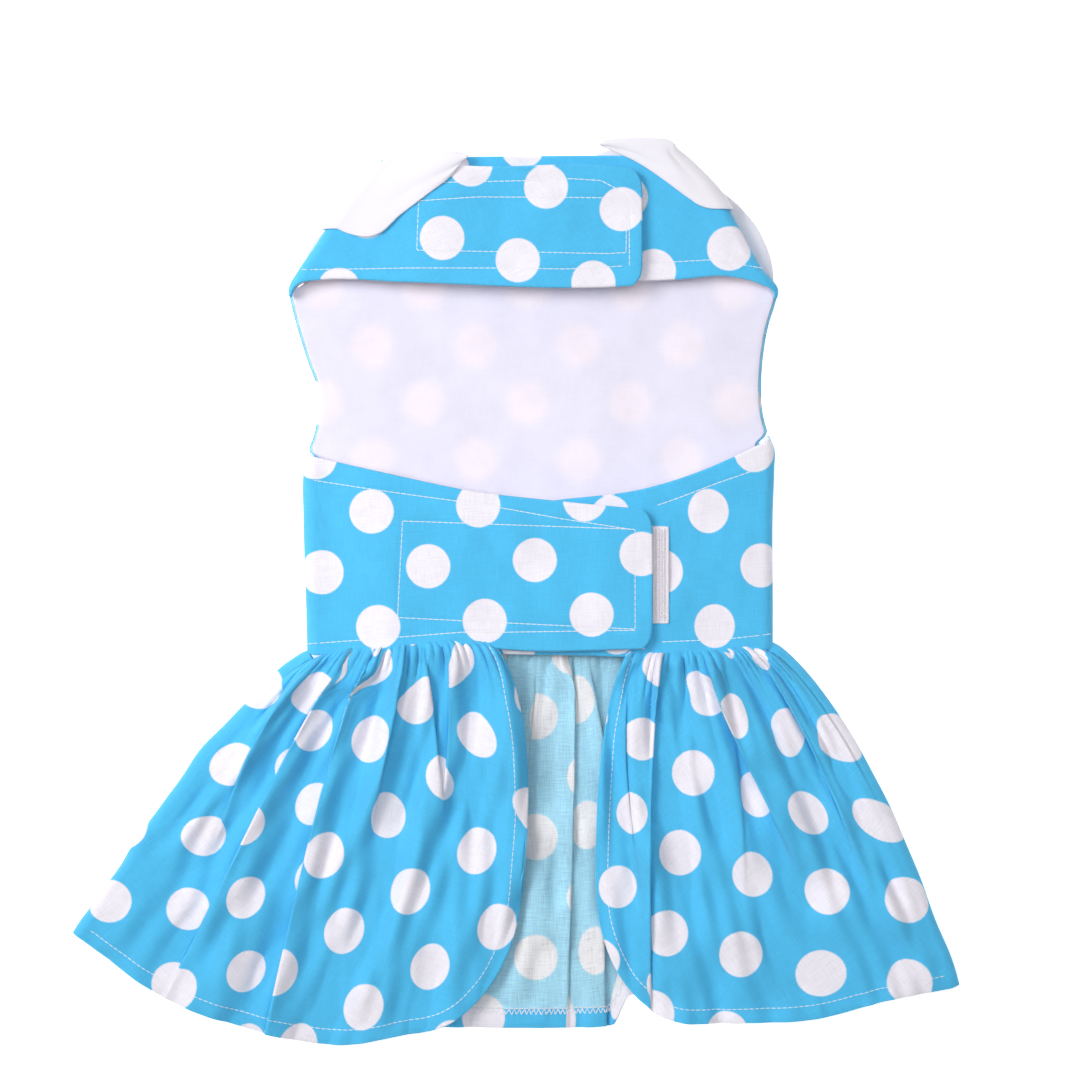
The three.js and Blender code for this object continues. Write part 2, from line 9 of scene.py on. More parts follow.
import bpy
import numpy as np
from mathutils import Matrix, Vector


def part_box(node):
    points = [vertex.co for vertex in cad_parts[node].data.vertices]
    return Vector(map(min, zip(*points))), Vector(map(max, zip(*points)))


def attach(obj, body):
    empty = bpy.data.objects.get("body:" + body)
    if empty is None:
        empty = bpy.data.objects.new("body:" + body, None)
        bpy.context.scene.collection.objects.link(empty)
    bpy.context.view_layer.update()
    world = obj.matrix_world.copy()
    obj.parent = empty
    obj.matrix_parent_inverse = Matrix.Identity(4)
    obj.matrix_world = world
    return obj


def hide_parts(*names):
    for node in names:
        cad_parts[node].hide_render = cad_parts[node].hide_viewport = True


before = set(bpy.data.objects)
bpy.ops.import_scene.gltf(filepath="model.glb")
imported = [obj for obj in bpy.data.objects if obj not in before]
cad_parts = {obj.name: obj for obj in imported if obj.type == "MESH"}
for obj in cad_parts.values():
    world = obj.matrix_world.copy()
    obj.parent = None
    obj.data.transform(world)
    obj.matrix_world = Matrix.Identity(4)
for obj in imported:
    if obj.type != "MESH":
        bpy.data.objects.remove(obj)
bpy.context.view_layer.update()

MM = 0.001

# Cloth thicknesses and the radius of the side bends, as in the frame's solids
FLAP = 1.7
COLLAR = 1.2
PAD = 1.0
GAP = 0.3
SHEET = 0.9
LINING = 0.6
FOLD_RADIUS = 4.5
# Heights of the middles of the layers, and how far the left flaps climb over the right ones
LAYER_Z = 0.5
LINING_Z = 1.8
SEAM_Z = 1.15
NECK_RAISE = 1.5
LIFT = FLAP + 2 * PAD + 3 * GAP
# From the side outline to where a flap's bend starts, and the flat part at its seam
FLAP_INSET = FOLD_RADIUS + FLAP / 2
SEAM_FLAT = 2.0

# Bodice
BELLY_HALF = 108.2
SHOULDER_HALF = 112.4
BELLY_BAND = 93.0
ARMHOLE = 74.0
NECK_BAND = 59.5
NECK_FOOT = BELLY_BAND + ARMHOLE
NECKLINE = NECK_FOOT + NECK_BAND
FREE_END = {"belly": {"left": 52.9, "right": -65.5}, "neck": {"left": 48.1, "right": -38.0}}
# Rounding of a flap's free end, and how close to the corners it keeps
CORNER = 4.0
CORNER_POWER = 10
# The flaps' waves start this far inside their edges, and rows of stitches dip this deep and wide
WAVES_FROM = 8.0
STITCH_DIP = 0.3
STITCH_DIP_WIDTH = 0.9
# The lining is smaller than the back, with its print drawn in across. It puffs up between two
# heights, each given with the length over which it rises or falls, and this far from the sides
LINING_INSET = 1.3
LINING_STRETCH = (0.975, 1.0)
PUFF_FROM = (60, 30)
PUFF_TO = (178, 20)
PUFF_SIDE = 16
# Its mean and greatest height, and the share of it that is left at the sides
PUFF = 0.55
PUFF_MOST = 1.6
PUFF_AT_SIDE = 0.35
# How far from the ends of the seams an armhole opens, and over what length
OPENS = {"belly": 8.0, "neck": 15.5}
OPENS_OVER = 7.0
# Share of the way to its seam that a flap's edge slants at the outermost line of the bend
BEND_SLANT = 0.45
# Mesh steps of the back and the flaps, steps round a bend, and shares of the bend's arc that the
# print runs on for
BACK_STEP = 2.2
FLAP_STEP = 1.2
BEND_STEPS = 16
PRINT_PAST_BEND = 1.2
# The rolled lining: rows of its cloth from the flap's lower edge inward, steps along it, thickness
ROLL_ROWS = (4.0, 2.0, 1.0, -0.7)
ROLL_STEPS = 90
ROLL_THICK = 0.5
# Hook and loop tape: mesh step, thickness, the hooks' pitch, height and half thickness, and how
# far from the tape's ends they keep
PAD_STEP = 2.0
TAPE = 0.8
HOOK_PITCH = 1.25
HOOK_HEIGHT = 0.75
HOOK_HALF = 0.2
HOOK_MARGIN = 1.2
HOOK_MARGIN_LEFT = 1.6

# Collar: its roll and puff above the neck band, and how far its bend clears the band's side
COLLAR_ROLL = 0.9
COLLAR_PUFF = 0.5
COLLAR_CLEAR = 0.9
# Waves of its puff: mean, height, size and random draw
COLLAR_WAVES = (0.6, 0.5, 40, 31)
# Shares of a leaf: where it begins to follow the curve of the fold, over which its roll and puff
# fade at the fold, neck edge and rim of the puff with their slopes, and the roll's width
LEAF_CURVES = 0.6
LEAF_FLATTENS = 0.3
LEAF_EDGES = (0, 0.2, 1, 0.15)
ROLL_WIDTH = 0.6
# Its bend: share of a half turn, share of the reach at the neck edge, and where that is full
LEAF_TURN = 0.8
REACH_LEAST = 0.1
REACH_FULL = 0.25
# Mesh steps from its tip to the fold, from there to the middle, and from edge to edge
LEAF_STEPS = (60, 40, 26)

# Skirt: how far it starts above the seam and below the flap's cloth, share of its length that
# the gathers pull in
SKIRT = 185.0
TUCK = 1.6
UNDER = 1.5
GATHERED = 0.2
CLOTH_WIDTH = {"left": 222.0, "back": 440.0, "right": 184.0}
ROUNDED = {"left": (46.0, 64.0), "right": (53.0, 69.0)}
HEM = 8.5
HEM_FOLD_RADIUS = 3.9
# The back's hem is this much higher between two shares across it, each given with the share over
# which it rises or falls, and the cloth rises towards it from a share down
HEM_STEP = 13.0
STEP_FROM = (0.63, 0.02)
STEP_TO = (0.76, 0.1)
STEP_DOWN = 0.45
# The back's folds stay below this height, and no cloth sinks further than this below its rest
BACK_RISE = 4.0
SINK = {"left": 2.0, "back": 0.5, "right": 2.0}
# Power that sets where the swell of a ray is greatest, and the unevenness of the sides: height,
# size and number of waves
SWELL_POWER = 0.63
SIDE_WAVE = (0.45, 40, 5)
# Folds. Each grows over a share of the skirt's length, is partly open at the waist if it starts
# there, and dies away from a share down.
FOLD_GROWS = 0.1
FOLD_OPEN = 0.3
FOLD_DIES = 0.15
# Cloth beside a fold that moves with it, and cloth before it over which it rises
FOLD_SPREAD = 5
FOLD_LEAD = 10
# Shares of its width over which a fold rises and falls, how its height goes with the height in
# the table, and the cloth taken up from which it is full
FOLD_RISES = 0.3
FOLD_FALLS = 0.5
FOLD_HEIGHT = 1.35
FOLD_FULL = 7
# Shares of the length over which the waist's heights give way to the rest of the skirt's: of the
# back, and of the front
BACK_SETTLES = 0.15
FRONT_SETTLES = 0.5
# A panel's relief fades over this much cloth at its sides. Its gathers start at a share of their
# height, and grow over a share of the length, as its wrinkles do
PANEL_FADE = 14
GATHER_START = 0.45
GATHER_GROWS = 0.03
WRINKLE_GROWS = 0.1
# Mesh: columns of the panels, crowded towards the front edges, rows above the hem, crowded
# towards the waist, rows of the hem, and steps round a side
COLUMNS = {"left": 200, "back": 250, "right": 172}
COLUMN_POWER = 1.08
ROWS = 57
ROW_POWER = 1.25
HEM_ROWS = 4
SIDE_STEPS = 12
# The turned-up hem, below the back's middle, and its cut-edge stitches: shares across the back,
# heights of the zigzag and of the straight row over the hem's edge, step of the zigzag, and how
# far below the back's middle they lie
FACING = 0.6
FACING_DROP = SHEET / 2 + 0.35
OVERLOCK = {"across": (0.2, 0.85), "zigzag": (-0.6, 2.4), "straight": -0.8, "step": 1.3,
            "drop": SHEET / 2 + 0.75}
# Its stitches: length, gap and radius
OVERLOCK_STITCH = (2.2, 0.15, 0.26)

# Stitches: radius of the thread, length, the gap between two, the step of their paths, and how
# far from the skirt's edge they run
THREAD = 0.2
STITCH = 2.5
STITCH_GAP = 0.12
PATH_STEP = 1.0
EDGE_STITCH = 6.5
# Pitch of the printed cloth's weave, and how far its uneven threads stray
WEAVE = 0.55
SLUB = 0.3

# Print: a dot's radius and the fray of its rim, the staggered rows, and one dot on the back
DOT_RADIUS = 10.1
DOT_FRAY = 0.5
DOT_ROW = 49.0
DOT_STEP = 53.0
BACK_DOT = (-4.8, 114.0)

# Side outline up the dress: height, left, right
SIDES = np.array([
    (0, 106.2, 108.5), (28, 106.9, 108.5), (60, 107.9, 108.4), (84, 107.6, 109.2),
    (92, 106.0, 109.3), (98, 103.6, 107.2), (108, 101.7, 104.3), (120, 101.7, 103.4),
    (135, 106.8, 104.2), (151, 111.6, 107.0), (160, 113.8, 109.8), (166, 114.7, 110.9),
    (174, 110.6, 104.4), (185.4, 102.8, 97.5), (194, 97.3, 93.0), (211.6, 84.0, 82.0),
    (226.5, 70.8, 67.6),
])
# Edges of the flaps: x, y
EDGES = {
    "belly": {
        "left": {
            "high": [(-107, 89), (-90, 85.1), (-57, 77.7), (-35, 73.1), (10, 67.6), (53, 63.6)],
            "low": [(-106, -1.8), (-73, -0.5), (-50, 1.4), (-28, 2.8), (-19, 1.6), (53, 1.4)],
        },
        "right": {
            "high": [(-65, 61), (11, 68.4), (50, 73.6), (72.5, 80.5), (95, 90.2), (108, 96.6)],
            "low": [(-65, -0.5), (42, -2.6), (54, -3.2), (76, -2.3), (95, -0.5), (108, 1.8)],
        },
    },
    "neck": {
        "left": {
            "high": [(-70, 225.5), (-32, 221.4), (32, 221.3), (48, 219.4)],
            "low": [(-113, 169.3), (-99, 171.1), (-61, 169.7), (33, 167.4), (48, 168.2)],
        },
        "right": {
            "high": [(-38, 225.9), (37, 226.5), (68, 226.5)],
            "low": [(-38, 171.2), (64, 171.1), (88, 172.5), (102, 169.3), (110, 165.2)],
        },
    },
}
# Heights where the seams between flaps and back end, low and high
SEAMS = {
    "belly": {"left": (0.0, 94.0), "right": (0.0, 102.0)},
    "neck": {"left": (155.0, 226.5), "right": (156.0, 226.5)},
}
# Print and cloth of the flaps: a dot, the turn of its rows in degrees, how much they are drawn in
# across, and the cut cloth's width and length in metres
FLAPS = {
    ("belly", "left"): ((-1.2, 41.4), -3.3, 1.0, (0.175, 0.092)),
    ("belly", "right"): ((78.6, 63.9), -3.4, 0.92, (0.19, 0.09)),
    ("neck", "left"): ((3.9, 212.5), 63.7, 1.0, (0.16, 0.06)),
    ("neck", "right"): ((88.1, 184.5), -63.7, 1.0, (0.155, 0.06)),
}
# Stitch lines on the flaps, in plan
BELLY_BOX = [(-61.9, 59.3), (44.8, 55.5), (44.8, 9.7), (-64.2, 15.0), (-61.9, 59.3)]
BELLY_LINES = {
    "left": [
        [(-104, 78.2), (-71, 73.1), (-37.5, 68.5), (-16.3, 65.3), (11.3, 60.3), (43.5, 55.4)],
        BELLY_BOX,
        [(-105.6, 2.8), (-81.7, 4.6), (-34.7, 8.3), (-15, 8.3), (12.6, 8.7), (45, 9.2)],
    ],
    "right": [
        [(55, 66.5), (65, 70), (82, 76.5), (98.2, 82.1), (107.5, 86.5)],
        [(57, 3.7), (88, 5.1), (107.5, 7.4)],
    ],
}
NECK_BOX = [(-54.5, 206.1), (-26.5, 207.9), (31, 207.5), (41, 203), (40.6, 182.4), (32.4, 181.9),
            (-36, 183.1), (-55.4, 183.5), (-54.5, 206.1)]
NECK_LINES = {
    "left": [
        [(-46.7, 214.4), (-6.7, 215.3), (15.4, 216.2), (29.2, 215.3), (37, 211.1), (42, 203),
         (42.2, 176.2)],
        NECK_BOX,
        [(-108.3, 174.8), (-61, 175.3), (-21.9, 175.3), (13.6, 174.8), (38.9, 176.2)],
    ],
    "right": [
        [(51, 178), (64.2, 178.5), (80.7, 179.4), (104.2, 175.3)],
    ],
}
LINES = {"belly": BELLY_LINES, "neck": NECK_LINES}
# Where the lining rolls out below a flap's lower edge: from x, to x
ROLLED_LINING = {
    "belly": {"left": (-24, 49), "right": (-20, 41)},
    "neck": {"left": (-104, 44), "right": (50, 102)},
}
# Hook and loop pads: length, height, how far the loop pad keeps from the flap's free end, tilt,
# and how far the hook pad stands out past it
PADS = {
    "belly": {"length": 107, "height": 45, "inset": 8, "tilt": 0.02, "hook_shows": 7.6},
    "neck": {"length": 86, "height": 24, "inset": 16, "tilt": 0, "hook_shows": -2},
}

# Skirt rays evenly over each panel's cloth, front edge to side, or left to right on the back:
# waist x, then the way to the hem and the swell below the gathers, as shares of the skirt's length
RAYS = {
    "left": [(-22.3, 0.035, 0.98, 0.083), (-39, -0.081, 0.975, 0.05), (-56, -0.195, 0.995, 0.02),
             (-72.6, -0.316, 0.95, -0.01), (-89.3, -0.447, 0.865, -0.035)],
    "back": [(-78, -0.454, 0.835, -0.03), (-52, -0.34, 0.94, -0.02), (-26, -0.195, 0.945, -0.01),
             (0, -0.065, 0.952, 0), (26, 0.038, 0.945, 0.01), (52, 0.173, 0.9, 0.02),
             (78, 0.335, 0.88, 0.04)],
    "right": [(42.6, -0.075, 0.93, -0.05), (55.9, 0.022, 0.92, -0.03), (69.2, 0.13, 0.92, 0),
              (82.6, 0.254, 0.915, 0.03), (95.8, 0.364, 0.875, 0.055)],
}
SIDE_RAYS = {"left": (-106.1, -0.582, 0.704, -0.057), "right": (108.5, 0.467, 0.85, 0.073)}

# Folds: share across the panel at the waist and at the hem, where down the skirt each starts
# and ends, cloth taken up, height, and which cloth lies on top: 1 is the one nearer the panel's
# first edge
FOLDS = {
    "left": [
        (0.25, 0.25, 0.02, 0.46, 9, 2.6, 1),
        (0.365, 0.07, 0.02, 0.46, 10, 3.0, -1),
        (0.46, 0.43, 0.00, 0.50, 11, 3.4, -1),
        (0.63, 0.57, 0.02, 1.30, 20, 4.6, 1),
        (0.735, 0.80, 0.06, 1.15, 16, 3.8, 1),
        (0.925, 0.78, 0.05, 0.60, 13, 3.0, 1),
    ],
    "back": [
        (0.07, 0.07, 0.05, 1.40, 10, 2.2, 1),
        (0.17, 0.17, 0.00, 1.40, 12, 2.4, 1),
        (0.29, 0.29, 0.02, 1.30, 10, 2.4, -1),
        (0.40, 0.40, 0.00, 1.20, 10, 2.0, -1),
        (0.50, 0.49, 0.03, 0.60, 8, 1.8, 1),
        (0.574, 0.572, 0.02, 1.05, 18, 3.6, 1),
        (0.605, 0.70, 0.03, 0.55, 9, 2.4, 1),
        (0.62, 0.62, 0.66, 1.80, 12, 4.2, 1),
        (0.73, 0.73, 0.02, 1.30, 10, 2.4, 1),
        (0.83, 0.83, 0.00, 1.40, 12, 2.4, -1),
        (0.93, 0.93, 0.05, 1.40, 10, 2.2, -1),
    ],
    "right": [
        (0.06, 0.205, 0.08, 0.85, 6, 2.4, 1),
        (0.23, 0.15, 0.00, 1.10, 12, 3.8, 1),
        (0.485, 0.735, 0.02, 0.62, 22, 5.0, -1),
        (0.56, 0.42, 0.22, 0.70, 6, 2.4, 1),
        (0.80, 0.84, 0.03, 0.70, 12, 3.0, -1),
    ],
}
# Print of the dots: each zone's dot, weft and warp from dot to dot, in plan, and its place in
# the lattice. A zone ends at the fold with that number, or fades into the next one between two
# shares across the panel. Shares of cloth taken up count from the anchor.
PRINT = {
    "left": {
        "anchor": 0.58,
        "zones": [((-89.0, -129.3), (39.6, -16.6), (-21.6, -53.4), (0, 0)),
                  ((-134.1, -147.7), (31.3, -25.3), (-31.3, -42.8), (-0.5, 0.5)),
                  ((-167.7, -153.6), (29.2, -37.9), (-43.2, -30.7), (-1, 1))],
        "limits": [3, 4],
    },
    "back": {
        "anchor": 0.53,
        "zones": [((-0.7, -86.5), (48.8, 0.0), (0.0, -55.7), (0, 0)),
                  ((22.8, -81.0), (38.0, 8.0), (4.0, -58.0), (1, 0))],
        "limits": [5],
    },
    "right": {
        "anchor": 0.3,
        "zones": [((35.2, -109.0), (36.8, 23.0), (23.9, -45.1), (0, 0)),
                  ((65.6, -93.4), (40.3, 27.1), (27.8, -46.5), (1, 0)),
                  ((133.2, -109.9), (35.4, 32.7), (38.2, -42.8), (2, 1))],
        "limits": [1, (0.45, 0.85)],
    },
}
# Fine and broad gathers at the waist: how many a panel, how far down they reach, their height
GATHERS = [({"left": 25, "back": 58, "right": 20}, 0.12, 3.0),
           ({"left": 8, "back": 19, "right": 6}, 0.4, 3.0)]
# How full the gathers are, and their least reach. Their unevenness sideways and in reach: height,
# size, how far a panel counts across and down, and its first random draw
GATHER_POWER = 0.8
GATHER_LEAST = 0.05
GATHER_WANDER = (0.4, 90, 400, 60, 0)
GATHER_REACH = (0.5, 50, 400, 0, 20)
# Waves of the cloth. Skirt: height, size, how far they are drawn out down the cloth, the share
# down it over which they grow, and how many are added up. Bodice: height, size, random draw.
WRINKLES = [(2.4, 30, 0.2, 0.2, 9), (1.1, 14, 0.35, 0.15, 14), (1.1, 34, 1.0, 0.3, 9)]
FLAP_WAVES = [(0.5, 42, 0), (0.22, 17, 5)]
LINING_WAVES = [(0.35, 60, 11), (0.18, 24, 12)]
# First random draw of each piece's waves
DRAWS = {
    "gathers": {"left": 3, "back": 5, "right": 7},
    "wrinkles": {"left": 41, "back": 43, "right": 45},
    "flaps": {"belly": 21, "neck": 23},
    "sides": 61,
}


def ease(share):
    share = np.clip(share, 0.0, 1.0)
    return share * share * (3 - 2 * share)


def window(value, low, rise, high, fall):
    """One between low and high and zero outside, with soft slopes of lengths rise and fall."""
    return ease((value - low) / rise) * ease((high - value) / fall)


def smooth_line(rows, at):
    """Values of a table of (place, value) rows at the places at, on a smooth curve."""
    keys, values = np.asarray(rows, float).T
    slopes = np.gradient(values, keys)
    at = np.clip(at, keys[0], keys[-1])
    i = np.clip(np.searchsorted(keys, at) - 1, 0, len(keys) - 2)
    span = keys[i + 1] - keys[i]
    t = (at - keys[i]) / span
    bend = t * (1 - t) * span
    middle = values[i] + (values[i + 1] - values[i]) * ease(t)
    return middle + bend * ((1 - t) * slopes[i] - t * slopes[i + 1])


def ripple(x, y, size, seed, waves=9):
    """Soft uneven waves about zero, of about one unit, size long."""
    draw = np.random.default_rng(seed)
    total = np.zeros(np.broadcast(x, y).shape)
    for turn, phase, stretch in zip(draw.uniform(0, math.pi, waves),
                                    draw.uniform(0, 2 * math.pi, waves),
                                    draw.uniform(0.7, 1.7, waves)):
        along = x * math.cos(turn) + y * math.sin(turn)
        total += np.sin(2 * math.pi * along / (size * stretch) + phase)
    return total / math.sqrt(waves)


def wave_sum(x, y, table, first=0):
    """Sum of the ripples in a table of height, size and random draw."""
    return sum(height * ripple(x, y, size, first + draw) for height, size, draw in table)


# The dress's middle line and waist seam in the frame: the collar leaves meet on the first, and
# the back starts at the second
SIGN = {"left": -1, "right": 1}
left_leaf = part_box("collar_left")
right_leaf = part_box("collar_right")
PLAN_X = (left_leaf[1][0] + right_leaf[0][0]) / 2
PLAN_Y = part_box("bodice_back")[0][1]


def place(points):
    """Plan points in millimetres as frame points in metres."""
    return np.asarray(points, float) * MM + np.array((PLAN_X, PLAN_Y, 0.0))


# Meshes
def make_object(name, points, faces, uv=None, materials=(), face_slots=None):
    mesh = bpy.data.meshes.new(name)
    mesh.from_pydata(place(points).tolist(), [], [tuple(f) for f in faces])
    if uv is not None:
        loops = np.empty(len(mesh.loops), np.int32)
        mesh.loops.foreach_get("vertex_index", loops)
        layer = mesh.uv_layers.new(name="cloth")
        layer.data.foreach_set("uv", np.asarray(uv, np.float32)[loops].ravel())
    for material in materials:
        mesh.materials.append(material)
    if face_slots is not None:
        mesh.polygons.foreach_set("material_index", np.asarray(face_slots, np.int32))
    mesh.polygons.foreach_set("use_smooth", np.ones(len(mesh.polygons), bool))
    mesh.update()
    obj = bpy.data.objects.new(name, mesh)
    bpy.context.scene.collection.objects.link(obj)
    return obj


def unit(vectors):
    return vectors / np.maximum(np.linalg.norm(vectors, axis=-1, keepdims=True), 1e-9)


def grid_normals(grid):
    across = np.gradient(grid, axis=1)
    down = np.gradient(grid, axis=0)
    return unit(np.cross(across, down))


def rim_order(rows, columns):
    """Rows and columns of a grid's outermost points, once round."""
    top = [(0, c) for c in range(columns)]
    right = [(r, columns - 1) for r in range(1, rows)]
    foot = [(rows - 1, c) for c in range(columns - 2, -1, -1)]
    left = [(r, 0) for r in range(rows - 2, 0, -1)]
    return np.array(top + right + foot + left)


def thick_sheet(name, grid, uv, thickness, materials):
    """Closed sheet about a grid of middle points, with a rounded rim. The first material is on
    the face that the grid's normals leave and on the rim, the second on the other face."""
    rows, columns, _ = grid.shape
    normals = grid_normals(grid)
    half = thickness / 2
    size = rows * columns
    face = (grid + normals * half).reshape(-1, 3)
    back = (grid - normals * half).reshape(-1, 3)
    rim = rim_order(rows, columns)
    edge = grid[rim[:, 0], rim[:, 1]]
    edge_normal = normals[rim[:, 0], rim[:, 1]]
    run = np.roll(edge, -1, axis=0) - np.roll(edge, 1, axis=0)
    out = unit(np.cross(run, edge_normal))
    rings = [edge + half * (math.cos(t) * edge_normal + math.sin(t) * out)
             for t in (math.pi / 4, math.pi / 2, 3 * math.pi / 4)]
    index = np.arange(size).reshape(rows, columns)
    quads = np.stack([index[:-1, :-1], index[:-1, 1:], index[1:, 1:], index[1:, :-1]], axis=2)
    quads = quads.reshape(-1, 4)
    faces = [quads, quads[:, ::-1] + size]
    slots = [np.zeros(len(quads)), np.ones(len(quads))]
    loop = index[rim[:, 0], rim[:, 1]]
    count = len(rim)
    belts = [loop] + [2 * size + k * count + np.arange(count) for k in range(3)] + [loop + size]
    for upper, lower in zip(belts[:-1], belts[1:]):
        faces.append(np.stack([np.roll(upper, -1), upper, lower, np.roll(lower, -1)], axis=1))
        slots.append(np.zeros(count))
    flat_uv = uv.reshape(-1, 2)
    edge_uv = uv[rim[:, 0], rim[:, 1]]
    return make_object(
        name, np.concatenate([face, back, *rings]), np.concatenate(faces),
        np.concatenate([flat_uv, flat_uv, edge_uv, edge_uv, edge_uv]), materials,
        np.concatenate(slots))


def plain_sheet(name, grid, thickness, material):
    """Closed sheet of one material, with its plan as cloth coordinates."""
    return thick_sheet(name, grid, grid[..., :2].copy(), thickness, [material, material])


def print_uv(u, v, centre, turn=0.0, stretch=(1.0, 1.0)):
    """Cloth coordinates of the print, in millimetres: a dot lies at centre, the rows turn."""
    du = (u - centre[0]) / stretch[0]
    dv = (v - centre[1]) / stretch[1]
    c, s = math.cos(turn), math.sin(turn)
    return np.stack([du * c - dv * s, du * s + dv * c], axis=-1)


# Materials
def new_material(name, roughness, sheen=0.0):
    material = bpy.data.materials.new(name)
    material.use_nodes = True
    shader = material.node_tree.nodes["Principled BSDF"]
    shader.inputs["Roughness"].default_value = roughness
    shader.inputs["Specular IOR Level"].default_value = 0.25
    shader.inputs["Sheen Weight"].default_value = sheen
    shader.inputs["Sheen Roughness"].default_value = 0.5
    return material, material.node_tree, shader


def add_node(tree, kind, inputs, **settings):
    """A node with its settings, and its inputs by place or name: a number or another output."""
    node = tree.nodes.new(kind)
    for key, value in settings.items():
        setattr(node, key, value)
    for slot, value in inputs.items() if isinstance(inputs, dict) else enumerate(inputs):
        if isinstance(value, bpy.types.NodeSocket):
            tree.links.new(value, node.inputs[slot])
        elif value is not None:
            node.inputs[slot].default_value = value
    return node


def noise(tree, at, scale, detail, roughness=0.6):
    return add_node(tree, "ShaderNodeTexNoise", [at, None, scale, detail, roughness])


def plain_math(tree, operation, *values):
    return add_node(tree, "ShaderNodeMath", values, operation=operation).outputs[0]


def vector_math(tree, operation, *values):
    return add_node(tree, "ShaderNodeVectorMath", values, operation=operation).outputs[0]


def map_range(tree, value, *limits, **settings):
    """A value brought to another range: from low, from high, to low, to high."""
    return add_node(tree, "ShaderNodeMapRange", [value, *limits], **settings).outputs[0]


def weave_height(tree, uv, pitch):
    """Over and under of a plain weave, minus one to one, with uneven threads."""
    slubs = noise(tree, uv, scale=0.9, detail=3.0)
    wobble = vector_math(tree, "MULTIPLY", slubs.outputs["Color"], (SLUB, SLUB, 0.0))
    moved = vector_math(tree, "ADD", uv, wobble)
    part = add_node(tree, "ShaderNodeSeparateXYZ", [moved])
    threads = []
    for axis in ("X", "Y"):
        scaled = plain_math(tree, "MULTIPLY", part.outputs[axis], 2 * math.pi / pitch)
        threads.append(plain_math(tree, "SINE", scaled))
    return plain_math(tree, "MULTIPLY", *threads)


def dot_mask(tree, uv, blur):
    """One inside the dots of the staggered print, zero outside."""
    distances = []
    for shift in (0.0, 0.5):
        share = vector_math(tree, "DIVIDE", uv, (DOT_ROW, DOT_STEP, 1.0))
        moved = vector_math(tree, "ADD", share, (shift + 0.5, shift + 0.5, 0.0))
        part = vector_math(tree, "FRACTION", moved)
        about = vector_math(tree, "SUBTRACT", part, (0.5, 0.5, 0.0))
        sized = vector_math(tree, "MULTIPLY", about, (DOT_ROW, DOT_STEP, 0.0))
        length = add_node(tree, "ShaderNodeVectorMath", [sized], operation="LENGTH")
        distances.append(length.outputs["Value"])
    nearest = plain_math(tree, "MINIMUM", *distances)
    fray = noise(tree, uv, scale=1.4, detail=2.0).outputs["Fac"]
    uneven = plain_math(tree, "MULTIPLY_ADD", fray, DOT_FRAY, nearest)
    rim = DOT_RADIUS + DOT_FRAY / 2
    return map_range(tree, uneven, rim + blur, rim - blur, 0.0, 1.0,
                     interpolation_type="SMOOTHSTEP")


def cloth_uv(tree):
    return add_node(tree, "ShaderNodeUVMap", [], uv_map="cloth").outputs[0]


def mix_colour(tree, share, low, high):
    inputs = {"Factor": share, "A": low, "B": high}
    return add_node(tree, "ShaderNodeMix", inputs, data_type="RGBA").outputs["Result"]


def darker(colour, share):
    return tuple(c * share for c in colour[:3]) + (1.0,)


def mottle(tree, uv, scale, low, high):
    """Uneven dye: a factor between low and high that varies over the cloth."""
    uneven = noise(tree, uv, scale, detail=4.0).outputs["Fac"]
    return map_range(tree, uneven, 0.3, 0.7, low, high)


def thread_streaks(tree, uv, low, high):
    """Fine streaks along both threads of the weave."""
    both = []
    for stretch in ((0.12, 2.2, 1.0), (2.2, 0.12, 1.0)):
        long = vector_math(tree, "MULTIPLY", uv, stretch)
        both.append(noise(tree, long, scale=1.0, detail=3.0).outputs["Fac"])
    return map_range(tree, plain_math(tree, "ADD", *both), 0.75, 1.25, low, high)


def fleck(tree, shader, scale, low, high):
    """Base colour that varies finely between two colours over the object."""
    spot = add_node(tree, "ShaderNodeTexCoord", []).outputs["Object"]
    uneven = noise(tree, spot, scale, detail=2.0, roughness=0.5).outputs["Fac"]
    tree.links.new(mix_colour(tree, uneven, low, high), shader.inputs["Base Color"])


def shade_colour(tree, colour, factor):
    """Colour times a grey factor."""
    inputs = {0: colour, "Scale": factor}
    return add_node(tree, "ShaderNodeVectorMath", inputs, operation="SCALE").outputs[0]


def cloth_bump(tree, shader, height, depth):
    """Relief of a height from minus one to one, depth millimetres deep."""
    inputs = {"Strength": 1.0, "Distance": depth * MM, "Height": height}
    tree.links.new(add_node(tree, "ShaderNodeBump", inputs).outputs[0], shader.inputs["Normal"])


# Colours: red, green, blue, opacity
BLUE = (0.087, 0.55, 0.92, 1.0)
DOT_WHITE = (0.93, 0.895, 0.98, 1.0)
PALE_BLUE = (0.44, 0.81, 1.0, 1.0)
PALE_WHITE = (0.98, 0.97, 1.0, 1.0)
LINING_WHITE = (0.84, 0.815, 0.96, 1.0)
GHOST_WHITE = (0.94, 0.87, 0.97, 1.0)
COLLAR_WHITE = (0.86, 0.835, 0.9, 1.0)
FLAP_WHITE = (0.88, 0.87, 0.94, 1.0)
THREAD_WHITE = (0.9, 0.9, 0.95, 1.0)
NYLON_WHITE = (0.95, 0.92, 0.97, 1.0)
HOOK_WHITE = (0.93, 0.88, 0.95, 1.0)
LOOP_WHITE = (0.88, 0.86, 0.9, 1.0)
FLOOR_LOW = (0.93, 0.93, 0.93, 1.0)
FLOOR_HIGH = (0.95, 0.95, 0.95, 1.0)
WHITE = (1.0, 1.0, 1.0, 1.0)


